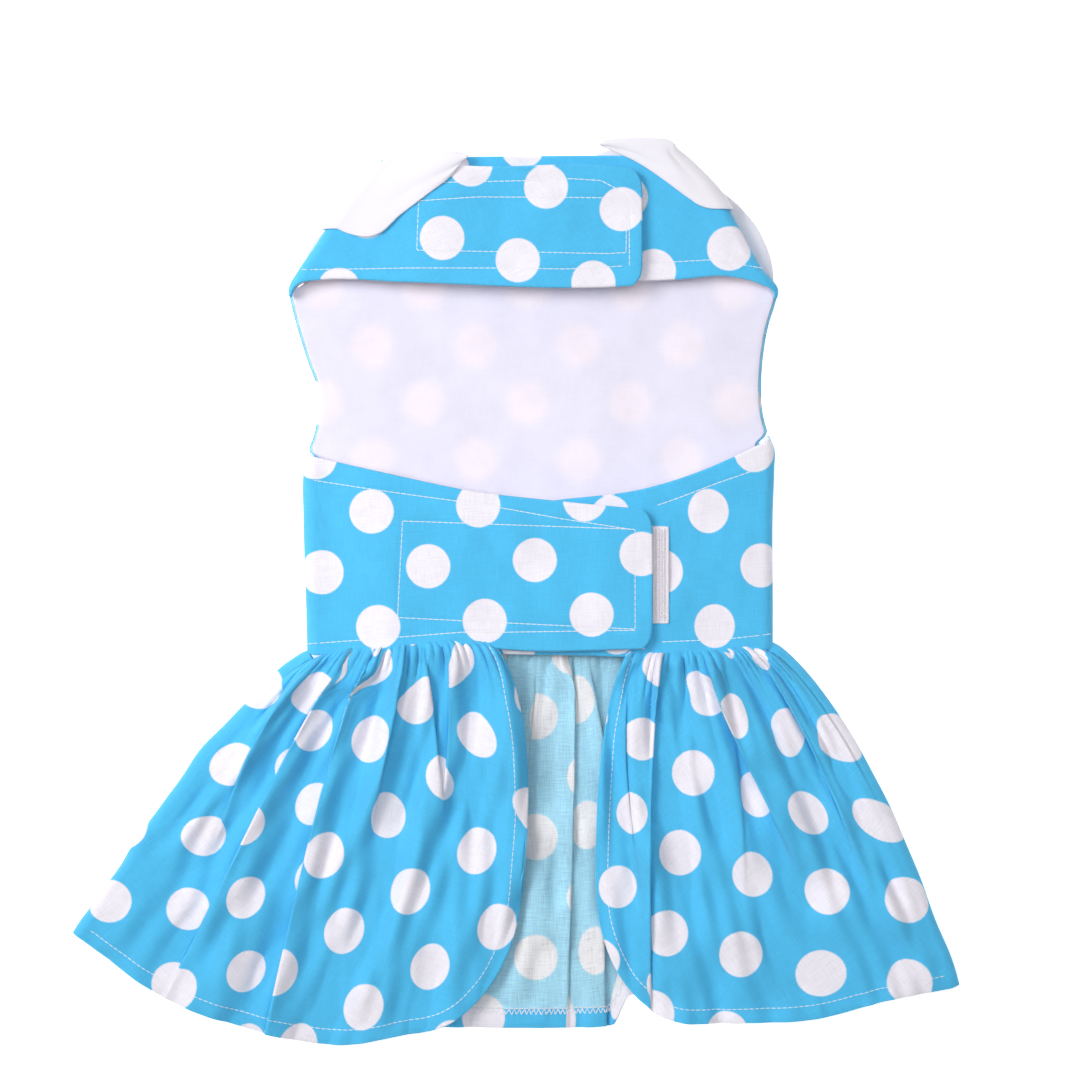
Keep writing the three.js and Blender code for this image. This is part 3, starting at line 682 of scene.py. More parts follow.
def printed_cloth(name, base, dot, blur, streaks, bump):
    """Dotted cotton: the dots' blur and the weave's depth in millimetres, low and high streaks."""
    material, tree, shader = new_material(name, roughness=0.82, sheen=0.15)
    uv = cloth_uv(tree)
    colour = mix_colour(tree, dot_mask(tree, uv, blur), base, dot)
    colour = shade_colour(tree, colour, thread_streaks(tree, uv, *streaks))
    colour = shade_colour(tree, colour, mottle(tree, uv, scale=0.05, low=0.955, high=1.02))
    tree.links.new(colour, shader.inputs["Base Color"])
    cloth_bump(tree, shader, weave_height(tree, uv, WEAVE), bump)
    return material


def plain_cloth(name, base, streaks, bump, pitch=0.5, roughness=0.85):
    """One colour with darker streaks, and a weave of a pitch and depth in millimetres."""
    material, tree, shader = new_material(name, roughness, sheen=0.15)
    uv = cloth_uv(tree)
    share = thread_streaks(tree, uv, low=0.0, high=1.0)
    colour = mix_colour(tree, share, darker(base, streaks), base)
    tree.links.new(colour, shader.inputs["Base Color"])
    cloth_bump(tree, shader, weave_height(tree, uv, pitch), bump)
    return material


def thread_material(name, colour):
    material, tree, shader = new_material(name, roughness=0.55, sheen=0.3)
    fleck(tree, shader, scale=900.0, low=darker(colour, 0.88), high=colour)
    return material


outer_cloth = printed_cloth("dotted_cotton", BLUE, DOT_WHITE,
                            blur=0.35, streaks=(0.92, 1.06), bump=0.06)
inner_cloth = printed_cloth("cotton_reverse", PALE_BLUE, PALE_WHITE,
                            blur=0.6, streaks=(0.85, 1.22), bump=0.1)
lining_cloth = printed_cloth("lining", LINING_WHITE, GHOST_WHITE,
                             blur=4.0, streaks=(0.975, 1.02), bump=0.05)
white_cloth = plain_cloth("collar_cotton", COLLAR_WHITE, streaks=0.98, bump=0.03)
flap_lining = plain_cloth("flap_lining", FLAP_WHITE, streaks=0.97, bump=0.05)
hook_tape = plain_cloth("hook_tape", HOOK_WHITE, streaks=0.9, bump=0.1, pitch=1.3, roughness=0.6)
loop_tape = plain_cloth("loop_tape", LOOP_WHITE, streaks=0.85, bump=0.3, pitch=0.8, roughness=0.95)
thread = thread_material("white_thread", THREAD_WHITE)
hook_thread = thread_material("hook_nylon", NYLON_WHITE)


# Bodice
def side_x(side, y):
    column = 1 if side == "left" else 2
    return smooth_line(SIDES[:, [0, column]], y)


def bend_start(side, y):
    return SIGN[side] * (side_x(side, y) - FLAP_INSET)


def edge_y(band, side, edge, x):
    return smooth_line(EDGES[band][side][edge], x)


def flap_height(band, side, x, y):
    """Middle of a flap's cloth: the left flap climbs over the right one and the pads."""
    low = SEAM_Z + (NECK_RAISE if band == "neck" else 0.0) + 2 * FOLD_RADIUS
    if side == "right":
        return low + np.zeros(np.broadcast(x, y).shape)
    start = bend_start("left", y)
    return low + LIFT * ease((x - start) / (FREE_END[band]["right"] - GAP - start))


def neck_raise(y):
    return NECK_RAISE * ease((y - NECK_FOOT + ARMHOLE / 2) / (ARMHOLE / 2))


def back_edge(side, y):
    """Edge of the back's cloth: the seam with a flap, or the open armhole between them."""
    belly_end, neck_end = SEAMS["belly"][side][1], SEAMS["neck"][side][0]
    seam = side_x(side, y) - FLAP_INSET - SEAM_FLAT
    opening = window(y, belly_end - OPENS["belly"], OPENS_OVER,
                     neck_end + OPENS["neck"], OPENS_OVER)
    return seam + (side_x(side, y) - SHEET / 2 - seam) * opening


def back_grid(raise_z, inset):
    ys = np.linspace(NECKLINE - inset, 0.0, int(NECKLINE / BACK_STEP))
    shares = np.linspace(0.0, 1.0, int(2 * BELLY_HALF / BACK_STEP))
    left = -(back_edge("left", ys) - inset)[:, None]
    right = (back_edge("right", ys) - inset)[:, None]
    x = left + (right - left) * shares
    y = np.broadcast_to(ys[:, None], x.shape)
    z = LAYER_Z + raise_z + neck_raise(y)
    return np.stack([x, y, z], axis=2)


def make_back():
    grid = back_grid(0.0, 0.0)
    uv = print_uv(grid[..., 0], grid[..., 1], BACK_DOT)
    return thick_sheet("back_cloth", grid, uv, SHEET, [outer_cloth, inner_cloth])


def make_lining():
    """Lining over the back, which puffs up in the opening between the bands."""
    grid = back_grid(LINING_Z - LAYER_Z, LINING_INSET)
    x, y = grid[..., 0], grid[..., 1]
    inner = window(y, *PUFF_FROM, *PUFF_TO)
    rim = window(x, -side_x("left", y), PUFF_SIDE, side_x("right", y), PUFF_SIDE)
    puff = np.clip(PUFF + wave_sum(x, y, LINING_WAVES), 0.0, PUFF_MOST)
    grid[..., 2] += inner * puff * (PUFF_AT_SIDE + (1 - PUFF_AT_SIDE) * rim)
    uv = print_uv(x, y, BACK_DOT, 0.0, LINING_STRETCH)
    return thick_sheet("lining", grid, uv, LINING, [lining_cloth, lining_cloth])


def distance_to(line, x, y):
    """Distance in plan from x, y to a line through points."""
    nearest = np.full(x.shape, np.inf)
    for (x0, y0), (x1, y1) in zip(line[:-1], line[1:]):
        dx, dy = x1 - x0, y1 - y0
        t = np.clip(((x - x0) * dx + (y - y0) * dy) / (dx * dx + dy * dy), 0, 1)
        nearest = np.minimum(nearest, np.hypot(x - x0 - t * dx, y - y0 - t * dy))
    return nearest


def flap_relief(band, side, x, y):
    """Unevenness of a flap's cloth: soft waves inside its edges, and a dip along its stitches."""
    nearest = np.minimum.reduce([distance_to(line, x, y) for line in LINES[band][side]])
    borders = (y - edge_y(band, side, "low", x), edge_y(band, side, "high", x) - y,
               np.abs(x - FREE_END[band][side]), np.abs(x - bend_start(side, y)))
    inside = math.prod(ease(border / WAVES_FROM) for border in borders)
    relief = wave_sum(x, y, FLAP_WAVES, DRAWS["flaps"][band] + SIGN[side])
    return inside * relief - STITCH_DIP * np.exp(-(nearest / STITCH_DIP_WIDTH) ** 2)


def flap_surface(band, side, u, v):
    """Middle of a flap's cloth. u runs from the seam at the side (-1) over the bend (0) to the
    free end (1), past the seam to -2, and v from the lower edge to the upper one."""
    toward = -SIGN[side]
    start = SIGN[side] * SHOULDER_HALF
    for _ in range(5):
        low, high = edge_y(band, side, "low", start), edge_y(band, side, "high", start)
        y_top = low + (high - low) * v
        start = bend_start(side, y_top)
    seam_low, seam_high = SEAMS[band][side]
    y_seam = seam_low + (seam_high - seam_low) * v
    raise_z = NECK_RAISE if band == "neck" else 0.0
    turn = math.pi * np.clip(-u, 0, 1)
    y_bend = y_top + (y_seam - y_top) * BEND_SLANT * np.sin(turn) ** 2
    x_bend = bend_start(side, y_bend) - toward * FOLD_RADIUS * np.sin(turn)
    z_bend = SEAM_Z + raise_z + FOLD_RADIUS * (1 + np.cos(turn))
    rounding = CORNER * np.abs(2 * v - 1) ** CORNER_POWER
    end = FREE_END[band][side] - toward * (rounding + FLAP / 2)
    x_flat = start + (end - start) * np.clip(u, 0, 1)
    y_low, y_high = edge_y(band, side, "low", x_flat), edge_y(band, side, "high", x_flat)
    y_flat = y_low + (y_high - y_low) * v
    z_flat = flap_height(band, side, x_flat, y_flat)
    bent = u < 0
    past = np.clip(-u - 1, 0, 1) * SEAM_FLAT
    x = np.where(bent, x_bend + toward * past, x_flat)
    return x, np.where(bent, y_bend, y_flat), np.where(bent, z_bend, z_flat)


def make_flap(band, side):
    centre, turn, squeeze, _ = FLAPS[band, side]
    width = abs(FREE_END[band][side] - SIGN[side] * SHOULDER_HALF)
    u = np.concatenate([np.linspace(-2, -1, 3)[:-1], np.linspace(-1, 0, BEND_STEPS + 1)[:-1],
                        np.linspace(0, 1, int(width / FLAP_STEP))])
    height = BELLY_BAND if band == "belly" else NECK_BAND
    v = np.linspace(0, 1, int(height / FLAP_STEP))
    uu, vv = np.meshgrid(u, v)
    x, y, z = flap_surface(band, side, uu, vv)
    z = z + np.where(uu > 0, flap_relief(band, side, x, y), 0)
    grid = np.stack([x, y, z], axis=2)
    round_bend = math.pi * FOLD_RADIUS * np.clip(-uu, 0, PRINT_PAST_BEND)
    fabric_x = np.where(uu < 0, bend_start(side, y) + SIGN[side] * round_bend, x)
    uv = print_uv(fabric_x, y, centre, math.radians(turn), (squeeze, 1.0))
    if side == "right":
        grid, uv = grid[:, ::-1], uv[:, ::-1]
    return thick_sheet(f"{band}_{side}_flap", grid, uv, FLAP, [outer_cloth, flap_lining])


def path_lengths(points):
    """Length of the way to each point."""
    return np.concatenate([[0], np.cumsum(np.linalg.norm(np.diff(points, axis=0), axis=1))])


def read_path(points, lengths, at):
    """Points at given lengths of the way."""
    return np.stack([np.interp(at, lengths, column) for column in points.T], axis=1)


def resample(points, step):
    points = np.asarray(points, float)
    lengths = path_lengths(points)
    count = max(int(lengths[-1] / step), 2)
    return read_path(points, lengths, np.linspace(0, lengths[-1], count + 1))


def tube_faces(first, rings, sides):
    """Faces of a closed tube of rings of points, the first point's number being first."""
    faces = []
    for ring in range(rings - 1):
        for side in range(sides):
            a = first + ring * sides + side
            b = first + ring * sides + (side + 1) % sides
            faces.append((a, a + sides, b + sides, b))
    last = first + (rings - 1) * sides
    faces.append(tuple(first + side for side in range(sides)))
    faces.append(tuple(last + side for side in reversed(range(sides))))
    return faces


# Rings of a stitch: share of its length, width, and height over the cloth in thread radii
STITCH_RINGS = [(0.0, 0.6, -0.7), (0.12, 0.9, -0.15), (0.3, 1.0, 0.15),
                (0.7, 1.0, 0.15), (0.88, 0.9, -0.15), (1.0, 0.6, -0.7)]
STITCH_SIDES = 6
STITCH_FLATNESS = 0.8


def stitch_mesh(name, paths, length=STITCH, gap=STITCH_GAP, radius=THREAD):
    """Rows of sewn stitches: short rounded threads that dip into the cloth at both ends."""
    shares, widths, dips = np.array(STITCH_RINGS).T
    turns = 2 * math.pi * np.arange(STITCH_SIDES) / STITCH_SIDES
    points, faces = [], []
    for path, normals in paths:
        lengths = path_lengths(path)
        count = int(lengths[-1] / (length + gap))
        for k in range(count):
            at = (k + 0.5) * lengths[-1] / count + (shares - 0.5) * length
            spine = read_path(path, lengths, at)
            normal = read_path(normals, lengths, at)
            side = unit(np.cross(np.gradient(spine, axis=0), normal))
            faces += tube_faces(len(points), len(shares), STITCH_SIDES)
            for i, (width, dip) in enumerate(zip(widths, dips)):
                centre = spine[i] + normal[i] * dip * radius
                for t in turns:
                    ring = math.cos(t) * side[i] + STITCH_FLATNESS * math.sin(t) * normal[i]
                    points.append(centre + ring * radius * width)
    return make_object(name, points, faces, None, [thread])


def flap_stitches(band):
    paths = []
    for side, rows in LINES[band].items():
        for row in rows:
            x, y = resample(row, PATH_STEP).T
            z = (flap_height(band, side, x, y) + FLAP / 2 + flap_relief(band, side, x, y)
                 + THREAD / 2)
            paths.append((np.stack([x, y, z], axis=1), np.tile((0.0, 0.0, 1.0), (len(x), 1))))
    return stitch_mesh(f"{band}_topstitch", paths)


def make_rolled_lining(band, side):
    """Edge of a flap's lining, which shows as a thin line below the flap."""
    x = np.linspace(*ROLLED_LINING[band][side], ROLL_STEPS)
    y = edge_y(band, side, "low", x) + np.array(ROLL_ROWS)[:, None]
    x = x + 0 * y
    z = flap_height(band, side, x, y) - FLAP / 2 - ROLL_THICK / 2
    return plain_sheet(f"{band}_{side}_lining_edge", np.dstack([x, y, z]), ROLL_THICK,
                       flap_lining)


def make_pad(band, kind):
    """A strip of hook or loop tape between the flaps, and its grid."""
    pad = PADS[band]
    side = "right" if kind == "hook" else "left"
    shift = pad["hook_shows"] if kind == "hook" else -pad["inset"]
    right = FREE_END[band]["left"] + shift
    middle = (edge_y(band, "left", "high", 0) + edge_y(band, "left", "low", 0)) / 2
    across = np.linspace(0, 1, int(pad["length"] / PAD_STEP))
    up = np.linspace(1, 0, int(pad["height"] / PAD_STEP))
    ss, vv = np.meshgrid(across, up)
    x = right - pad["length"] * (1 - ss) - PAD / 2 * (2 * ss - 1)
    y = middle + (pad["height"] - PAD) * (vv - 0.5) - pad["tilt"] * (x - right)
    z = flap_height(band, side, x, y) + SIGN[side] * (FLAP / 2 + GAP + PAD / 2)
    grid = np.stack([x, y, z], axis=2)
    material = hook_tape if kind == "hook" else loop_tape
    return plain_sheet(f"{band}_{kind}_tape", grid, TAPE, material), grid


# Rings of a hook: share of its height, and how far it leans up the tape as a share of the pitch
HOOK_RINGS = [(0.0, 0.0), (0.7, 0.0), (1.0, 0.45), (0.85, 0.8)]
HOOK_CORNERS = [(-HOOK_HALF, -HOOK_HALF), (-HOOK_HALF, HOOK_HALF),
                (HOOK_HALF, HOOK_HALF), (HOOK_HALF, -HOOK_HALF)]


def hook_mesh(name, grid):
    """Rows of small bent hooks standing on a hook pad."""
    edge_x, top, foot = grid[0, :, 0], grid[0, :, 1], grid[-1, :, 1]
    z = grid[..., 2].mean() + TAPE / 2
    start, end = edge_x.min() + HOOK_MARGIN_LEFT, edge_x.max() - HOOK_MARGIN
    points, faces = [], []
    for i, x in enumerate(np.arange(start, end, HOOK_PITCH)):
        high = np.interp(x, edge_x, top) - HOOK_MARGIN
        low = np.interp(x, edge_x, foot) + HOOK_MARGIN
        for y in np.arange(low + 0.5 * HOOK_PITCH * (i % 2), high, HOOK_PITCH):
            faces += tube_faces(len(points), len(HOOK_RINGS), len(HOOK_CORNERS))
            for rise, lean in HOOK_RINGS:
                points += [(x + dx, y + lean * HOOK_PITCH + dy, z + rise * HOOK_HEIGHT)
                           for dx, dy in HOOK_CORNERS]
    return make_object(name, points, faces, None, [hook_thread])


# Collar leaves: along from the inner tip (0) over the side fold (1) to the middle of the back
# (2), neck edge x and y, leaf edge x and y. x is outward from the middle line.
LEAVES = {
    "left": {
        "top": [(0, 32.0, 226.6, 35, 223.5), (0.1, 35, 227.6, 39.5, 218.2),
                (0.3, 42, 228.6, 50.5, 209.6), (0.5, 50, 229.2, 63.8, 199.6),
                (0.68, 57, 229.3, 72.5, 191.9), (0.8, 62, 229.3, 79, 190.2),
                (0.9, 64.5, 229.2, 86.5, 191.8)],
        "fold": (229.0, 194.1),
        "under": [(1, 66, 229, 95, 196.5), (1.1, 60, 227, 103.8, 188), (1.25, 50, 225, 103, 179),
                  (1.4, 38, 224, 75, 177), (1.65, 24, 223, 38, 179)],
    },
    "right": {
        "top": [(0, 28.0, 232.8, 30.5, 231.6), (0.1, 33, 233.9, 35.5, 229.4),
                (0.3, 41, 234.6, 46.5, 224.2), (0.5, 48.5, 234.8, 58, 216.6),
                (0.7, 55, 234.6, 70, 207.8), (0.84, 59, 234.3, 75, 204.6),
                (0.93, 61, 233.7, 79, 203.4)],
        "fold": (232.5, 203.2),
        "under": [(1, 60, 231.5, 92.5, 205), (1.08, 58, 230, 100.5, 195.5),
                  (1.16, 56, 228, 105.3, 186), (1.25, 50, 226.5, 108, 177),
                  (1.34, 45, 229.2, 107.5, 167), (1.56, 28, 228.6, 66, 174),
                  (1.62, 25, 225.5, 56, 176.5)],
    },
}
LEAF_MIDDLE = (223.0, 181.0)


def leaf_plan(side, rows, along, v):
    """Plan points of a leaf, v from its neck edge to its outer edge."""
    table = np.array(rows, float)
    neck_x, neck_y, rim_x, rim_y = (
        smooth_line(table[:, [0, column]], along) for column in range(1, 5))
    return SIGN[side] * (neck_x + (rim_x - neck_x) * v), neck_y + (rim_y - neck_y) * v


def leaf_over(side, v):
    """Middle points of a leaf's part over the neck band and round its side fold."""
    neck_y, leaf_y = LEAVES[side]["fold"]
    neck_x, leaf_x = abs(bend_start(side, neck_y)), abs(bend_start(side, leaf_y))
    along = np.linspace(0, 1, LEAF_STEPS[0] + 1)[:-1]
    x, y = leaf_plan(side, LEAVES[side]["top"] + [(1, neck_x, neck_y, leaf_x, leaf_y)], along, v)
    y_fold = neck_y + (leaf_y - neck_y) * v
    curve = bend_start(side, y_fold) - SIGN[side] * (neck_x + (leaf_x - neck_x) * v)
    x += curve * ease((along - LEAF_CURVES) / (1 - LEAF_CURVES))[None, :]
    to_fold = ease((1 - along) / LEAF_FLATTENS)[None, :]
    body = window(v, *LEAF_EDGES) * to_fold
    mean, height, size, draw = COLLAR_WAVES
    puff = COLLAR_PUFF * body * np.clip(mean + height * ripple(x, y, size, draw), 0, 2)
    roll = COLLAR_ROLL * np.sin(math.pi * np.clip(v / ROLL_WIDTH, 0, 1)) * to_fold
    over_gap = (FLAP + COLLAR) / 2 + GAP
    z = flap_height("neck", side, x, np.minimum(y, NECKLINE)) + over_gap + puff + roll
    parts = zip((x, y, z), leaf_bend(side, v, y_fold, z[:, -1:]))
    return np.dstack([np.hstack(part) for part in parts])


def leaf_bend(side, v, y_fold, over_z):
    """Middle points of a leaf's bend, from the part over the band to the floor."""
    turn = np.linspace(0, LEAF_TURN * math.pi, BEND_STEPS + 1)[None, :]
    half_drop = (over_z - COLLAR / 2) / 2
    y = y_fold + 0 * turn
    share = REACH_LEAST + (1 - REACH_LEAST) * ease(v / REACH_FULL)
    reach = (half_drop + COLLAR_CLEAR) * share * np.sin(turn)
    z = COLLAR / 2 + half_drop * (1 + np.cos(turn))
    return bend_start(side, y) + SIGN[side] * reach, y, z


def leaf_under(side, v):
    """Middle points of a leaf's part under the back."""
    middle = (2, GAP, LEAF_MIDDLE[0], GAP, LEAF_MIDDLE[1])
    x, y = leaf_plan(side, LEAVES[side]["under"] + [middle],
                     np.linspace(1, 2, LEAF_STEPS[1] + 1), v)
    return np.dstack([x, y, np.full(x.shape, COLLAR / 2)])


def make_collar(side):
    v = np.linspace(0, 1, LEAF_STEPS[2] + 1)[:, None]
    pieces = []
    bpy.ops.object.select_all(action="DESELECT")
    for name, grid in ((f"{side}_collar", leaf_over(side, v)),
                       (f"{side}_collar_under", leaf_under(side, v))):
        if side == "left":
            grid = grid[:, ::-1]
        pieces.append(plain_sheet(name, grid, COLLAR, white_cloth))
        pieces[-1].select_set(True)
    bpy.context.view_layer.objects.active = pieces[0]
    bpy.ops.object.join()
    return pieces[0]


# Skirt
def ray_point(ray, top, v):
    waist, shift, drop, bulge = ray
    swell = np.sin(math.pi * v ** SWELL_POWER)
    return waist + SKIRT * (shift * v + bulge * swell), top - SKIRT * drop * v


def bend_radius(v):
    """Radius of the skirt's side bends, which lie flatter at the hem."""
    return FOLD_RADIUS + (HEM_FOLD_RADIUS - FOLD_RADIUS) * v


def side_ray(side, v, near=0.02):
    """Where the side bend of the skirt starts, the way out from it, and the bend's radius."""
    top = edge_y("belly", side, "low", SIGN[side] * BELLY_HALF) + TUCK
    x, y = ray_point(SIDE_RAYS[side], top, v)
    x0, y0 = ray_point(SIDE_RAYS[side], top, np.maximum(v - near, 0))
    x1, y1 = ray_point(SIDE_RAYS[side], top, np.minimum(v + near, 1))
    dx, dy = x1 - x0, y1 - y0
    size = np.hypot(dx, dy)
    out = np.stack([-SIGN[side] * dy / size, SIGN[side] * dx / size], axis=-1)
    radius = bend_radius(v)
    height, wave, count = SIDE_WAVE
    uneven = (height * ripple(v * SKIRT, 0 * v, wave, DRAWS["sides"] + SIGN[side], count)
              * ease(v / WRINKLE_GROWS))
    start = np.stack([x, y], axis=-1) - out * (radius + SHEET / 2 - uneven)[..., None]
    return start, out, radius


def blend_keys(values, at):
    """Smooth curve through values (last axis) at evenly spaced shares, read at the shares at."""
    keys = np.linspace(0, 1, values.shape[-1])
    slopes = np.gradient(values, keys, axis=-1)
    at = np.clip(at, 0, 1)
    i = np.clip((at * (len(keys) - 1)).astype(int), 0, len(keys) - 2)
    t = at / keys[1] - i
    low, high, low_slope, high_slope = (
        np.take_along_axis(table, k[..., None], axis=-1)[..., 0]
        for table, k in ((values, i), (values, i + 1), (slopes, i), (slopes, i + 1)))
    bend = t * (1 - t) * keys[1]
    return low + (high - low) * ease(t) + bend * ((1 - t) * low_slope - t * high_slope)


def panel_rays(panel, v):
    """Plan points of a panel's rays and sides at v, rays along the last axis but one."""
    if panel == "back":
        points = [side_ray("left", v)[0]]
        points += [np.stack(ray_point(ray, TUCK, v), axis=-1) for ray in RAYS["back"]]
        points.append(side_ray("right", v)[0])
    else:
        tops = [edge_y("belly", panel, "low", ray[0]) + TUCK for ray in RAYS[panel]]
        points = [np.stack(ray_point(ray, top, v), axis=-1) for ray, top in zip(RAYS[panel], tops)]
        points.append(side_ray(panel, v)[0])
    return np.stack(points, axis=-2)


def panel_plan(panel, share, v, near=0.01):
    """Plan of a panel at shares across it, without its folds, and the way across there."""
    rays = panel_rays(panel, v)
    at = [np.stack([blend_keys(rays[..., axis], share + step) for axis in (0, 1)], axis=-1)
          for step in (0.0, -near, near)]
    return at[0], unit(at[2] - at[1])


Fold = namedtuple("Fold", "waist hem start end cloth height top")
Folded = namedtuple("Folded", "depth used height share hidden")


def folded(panel, u, v):
    """How the folds of a panel take up its cloth at u, v. Gives each fold's depth, the share of
    it that is taken up before u, its height there, its share across and how far u lies past it,
    and the spare cloth."""
    rows = [Fold(*row) for row in FOLDS[panel]]
    depths = [row.cloth * ease((v - row.start) / FOLD_GROWS + FOLD_OPEN * (row.start == 0))
              * np.clip((row.end - v) / (row.end - FOLD_DIES), 0, 1) for row in rows]
    shares = [row.waist + (row.hem - row.waist) * v for row in rows]
    spare = CLOTH_WIDTH[panel] - sum(depths)
    folds = []
    for row, share, depth in zip(rows, shares, depths):
        before = sum(d * (s < share) for s, d in zip(shares, depths))
        middle = share * spare + before + depth / 2
        width = depth + FOLD_SPREAD
        t = (u - middle) / width + 0.5
        q = np.clip(t, 0, 1)
        used = q - np.sin(2 * math.pi * q) / (2 * math.pi)
        over = t if row.top > 0 else 1 - t
        lead = FOLD_LEAD / width
        hidden = ease((over - FOLD_RISES) / FOLD_FALLS)
        rise = ease((over + lead) / (lead + FOLD_RISES)) * (1 - hidden)
        height = FOLD_HEIGHT * row.height * rise * np.clip(depth / FOLD_FULL, 0, 1)
        folds.append(Folded(depth, used, height, share, hidden if row.top > 0 else 1 - hidden))
    return folds, spare


def gather_height(panel, share, v):
    """Height of the gathers, which die away down the skirt at uneven lengths."""
    def uneven(table, order):
        sway, size, across, down, draw = table
        draw += DRAWS["gathers"][panel] + order
        return sway * ripple(share * across, v * down, size, draw)

    height = np.zeros(share.shape)
    for order, (counts, reach, rise) in enumerate(GATHERS):
        middle = counts[panel] * share + uneven(GATHER_WANDER, order)
        wave = np.abs(np.sin(math.pi * middle))
        length = np.maximum(reach * (1 + uneven(GATHER_REACH, order)), GATHER_LEAST)
        height += rise * wave ** GATHER_POWER * ease(1 - v / length)
    return height


def wrinkles(panel, share, v):
    """Slight long waves that run down the cloth, and a few that cross it."""
    across = share * CLOTH_WIDTH[panel]
    down = v * SKIRT
    first = DRAWS["wrinkles"][panel]
    return sum(height * ripple(across, down * drawn, size, first + order, count) * ease(v / grows)
               for order, (height, size, drawn, grows, count) in enumerate(WRINKLES))


def lattice_uv(zone, spot):
    """Print coordinates at plan points for a zone's lattice."""
    dot, weft, warp, lattice_place = zone
    turn = np.linalg.inv(np.array([weft, warp]).T)
    steps = (spot - np.array(dot)) @ turn.T + np.array(lattice_place)
    return steps * np.array((DOT_ROW, DOT_STEP))


def print_on_panel(panel, u, v, near=0.04):
    """Print coordinates over a panel: zone by zone, moved by the cloth that folds take up. Near
    the waist the print runs with the threads from where the gathers end."""
    table = PRINT[panel]
    level = np.maximum(v, GATHERED)
    folds, spare = folded(panel, u, level)
    share = (u - sum(fold.depth * fold.used for fold in folds)) / spare
    plan, across = panel_plan(panel, share, level)
    below = panel_plan(panel, share, np.minimum(level + near, 1))[0]
    taken = sum(fold.depth * (fold.used - (fold.share < table["anchor"]))
                for number, fold in enumerate(folds) if number not in table["limits"])
    spot = plan + across * taken[..., None] + (below - plan) * ((v - level) / near)[..., None]
    uv = lattice_uv(table["zones"][0], spot)
    for zone, limit in zip(table["zones"][1:], table["limits"]):
        if isinstance(limit, int):
            weight = folds[limit].hidden
        else:
            weight = ease((share - limit[0]) / (limit[1] - limit[0]))
        uv = uv + (lattice_uv(zone, spot) - uv) * weight[..., None]
    return uv


def back_base(v):
    return SEAM_Z + (LAYER_Z - SEAM_Z) * ease(v / BACK_SETTLES)


def cloth_panel(panel, u, v, base):
    """Folds a panel's cloth over its plan. base gives the height that it rests at. Returns the
    grid and its print coordinates."""
    width = CLOTH_WIDTH[panel]
    folds, spare = folded(panel, u, v)
    taken = sum(fold.depth * fold.used for fold in folds)
    share = np.clip((u - taken) / spare, 0, 1)
    fade = ease((width - u) / PANEL_FADE) * (ease(u / PANEL_FADE) if panel == "back" else 1)
    gathers = gather_height(panel, share, v)
    gathers *= GATHER_START + (1 - GATHER_START) * ease(v / GATHER_GROWS)
    lift = (sum(fold.height for fold in folds) + gathers
            + wrinkles(panel, share, v) * ease(v / WRINKLE_GROWS)) * fade
    if panel == "back":
        lift = BACK_RISE * np.tanh(lift / BACK_RISE)
    z = np.maximum(base(share, v) + np.maximum(lift, -SINK[panel]), SHEET / 2)
    return np.dstack([panel_plan(panel, share, v)[0], z]), print_on_panel(panel, u, v)


def front_panel(side, shares, down):
    """Grid of a front panel from its front edge to the side, its print, and its cloth's u, v."""
    u_line = shares * CLOTH_WIDTH[side]
    wide, tall = ROUNDED[side]
    cut = tall * (1 - np.sqrt(1 - np.clip(1 - u_line / wide, 0, 1) ** 2))
    v = down[:, None] * (1 - cut[None, :] / SKIRT)
    u = np.broadcast_to(u_line[None, :], v.shape)

    def base(share, v):
        waist_x = RAYS[side][0][0] + (SIDE_RAYS[side][0] - RAYS[side][0][0]) * share
        at_waist = flap_height("belly", side, waist_x, 0.0 * waist_x) - UNDER
        at_hem = back_base(v) + 2 * bend_radius(v)
        return at_waist + (at_hem - at_waist) * ease(v / FRONT_SETTLES)

    grid, uv = cloth_panel(side, u, v, base)
    return grid, uv, u, v * SKIRT


def bend_panel(side, down):
    """Grid and print of the cloth that goes round a side, from the front to the back."""
    turn = np.linspace(0, math.pi, SIDE_STEPS + 1)[None, :]
    v = down[:, None] + 0 * turn
    start, out, radius = side_ray(side, v)
    plan = start + out * (radius * np.sin(turn))[..., None]
    sink = UNDER / 2 * (1 + np.cos(turn)) * ease(1 - v / FRONT_SETTLES)
    grid = np.dstack([plan, back_base(v) + radius * (1 + np.cos(turn)) - sink])
    zone = PRINT[side]["zones"][-1]
    side_edge = print_on_panel(side, np.full((len(down), 1), CLOTH_WIDTH[side]), v[:, :1])
    round_it = start + out * (radius * turn)[..., None]
    return grid, side_edge + lattice_uv(zone, round_it) - lattice_uv(zone, start)


def back_panel(shares, down):
    """Grid of the back panel from left to right, its print, and its cloth's u, v."""
    v = down[:, None] + 0 * shares[None, :]
    share = np.broadcast_to(shares[None, :], v.shape)
    u = share * CLOTH_WIDTH["back"]
    grid, uv = cloth_panel("back", u, v, lambda share, v: back_base(v))
    step = window(share, *STEP_FROM, *STEP_TO)
    grid[..., 1] += HEM_STEP * step * ease((v - STEP_DOWN) / (1 - STEP_DOWN))
    return grid, uv, u, v * SKIRT


def skirt_rows():
    """Shares down the skirt of its rows of points, the last ones on the hem."""
    hem = HEM / SKIRT
    above = np.linspace(0, 1, ROWS + 1) ** ROW_POWER * (1 - hem)
    return np.concatenate([above, 1 - hem + np.linspace(0, 1, HEM_ROWS + 1)[1:] * hem])


def skirt_parts():
    """Grids and prints of the skirt's three panels and two sides."""
    down = skirt_rows()
    parts = {}
    for side in ("left", "right"):
        shares = np.linspace(0, 1, COLUMNS[side] + 1) ** COLUMN_POWER
        parts[side] = front_panel(side, shares, down)
        parts[side + "_bend"] = bend_panel(side, down)
    parts["back"] = back_panel(np.linspace(0, 1, COLUMNS["back"] + 1), down)
    return parts


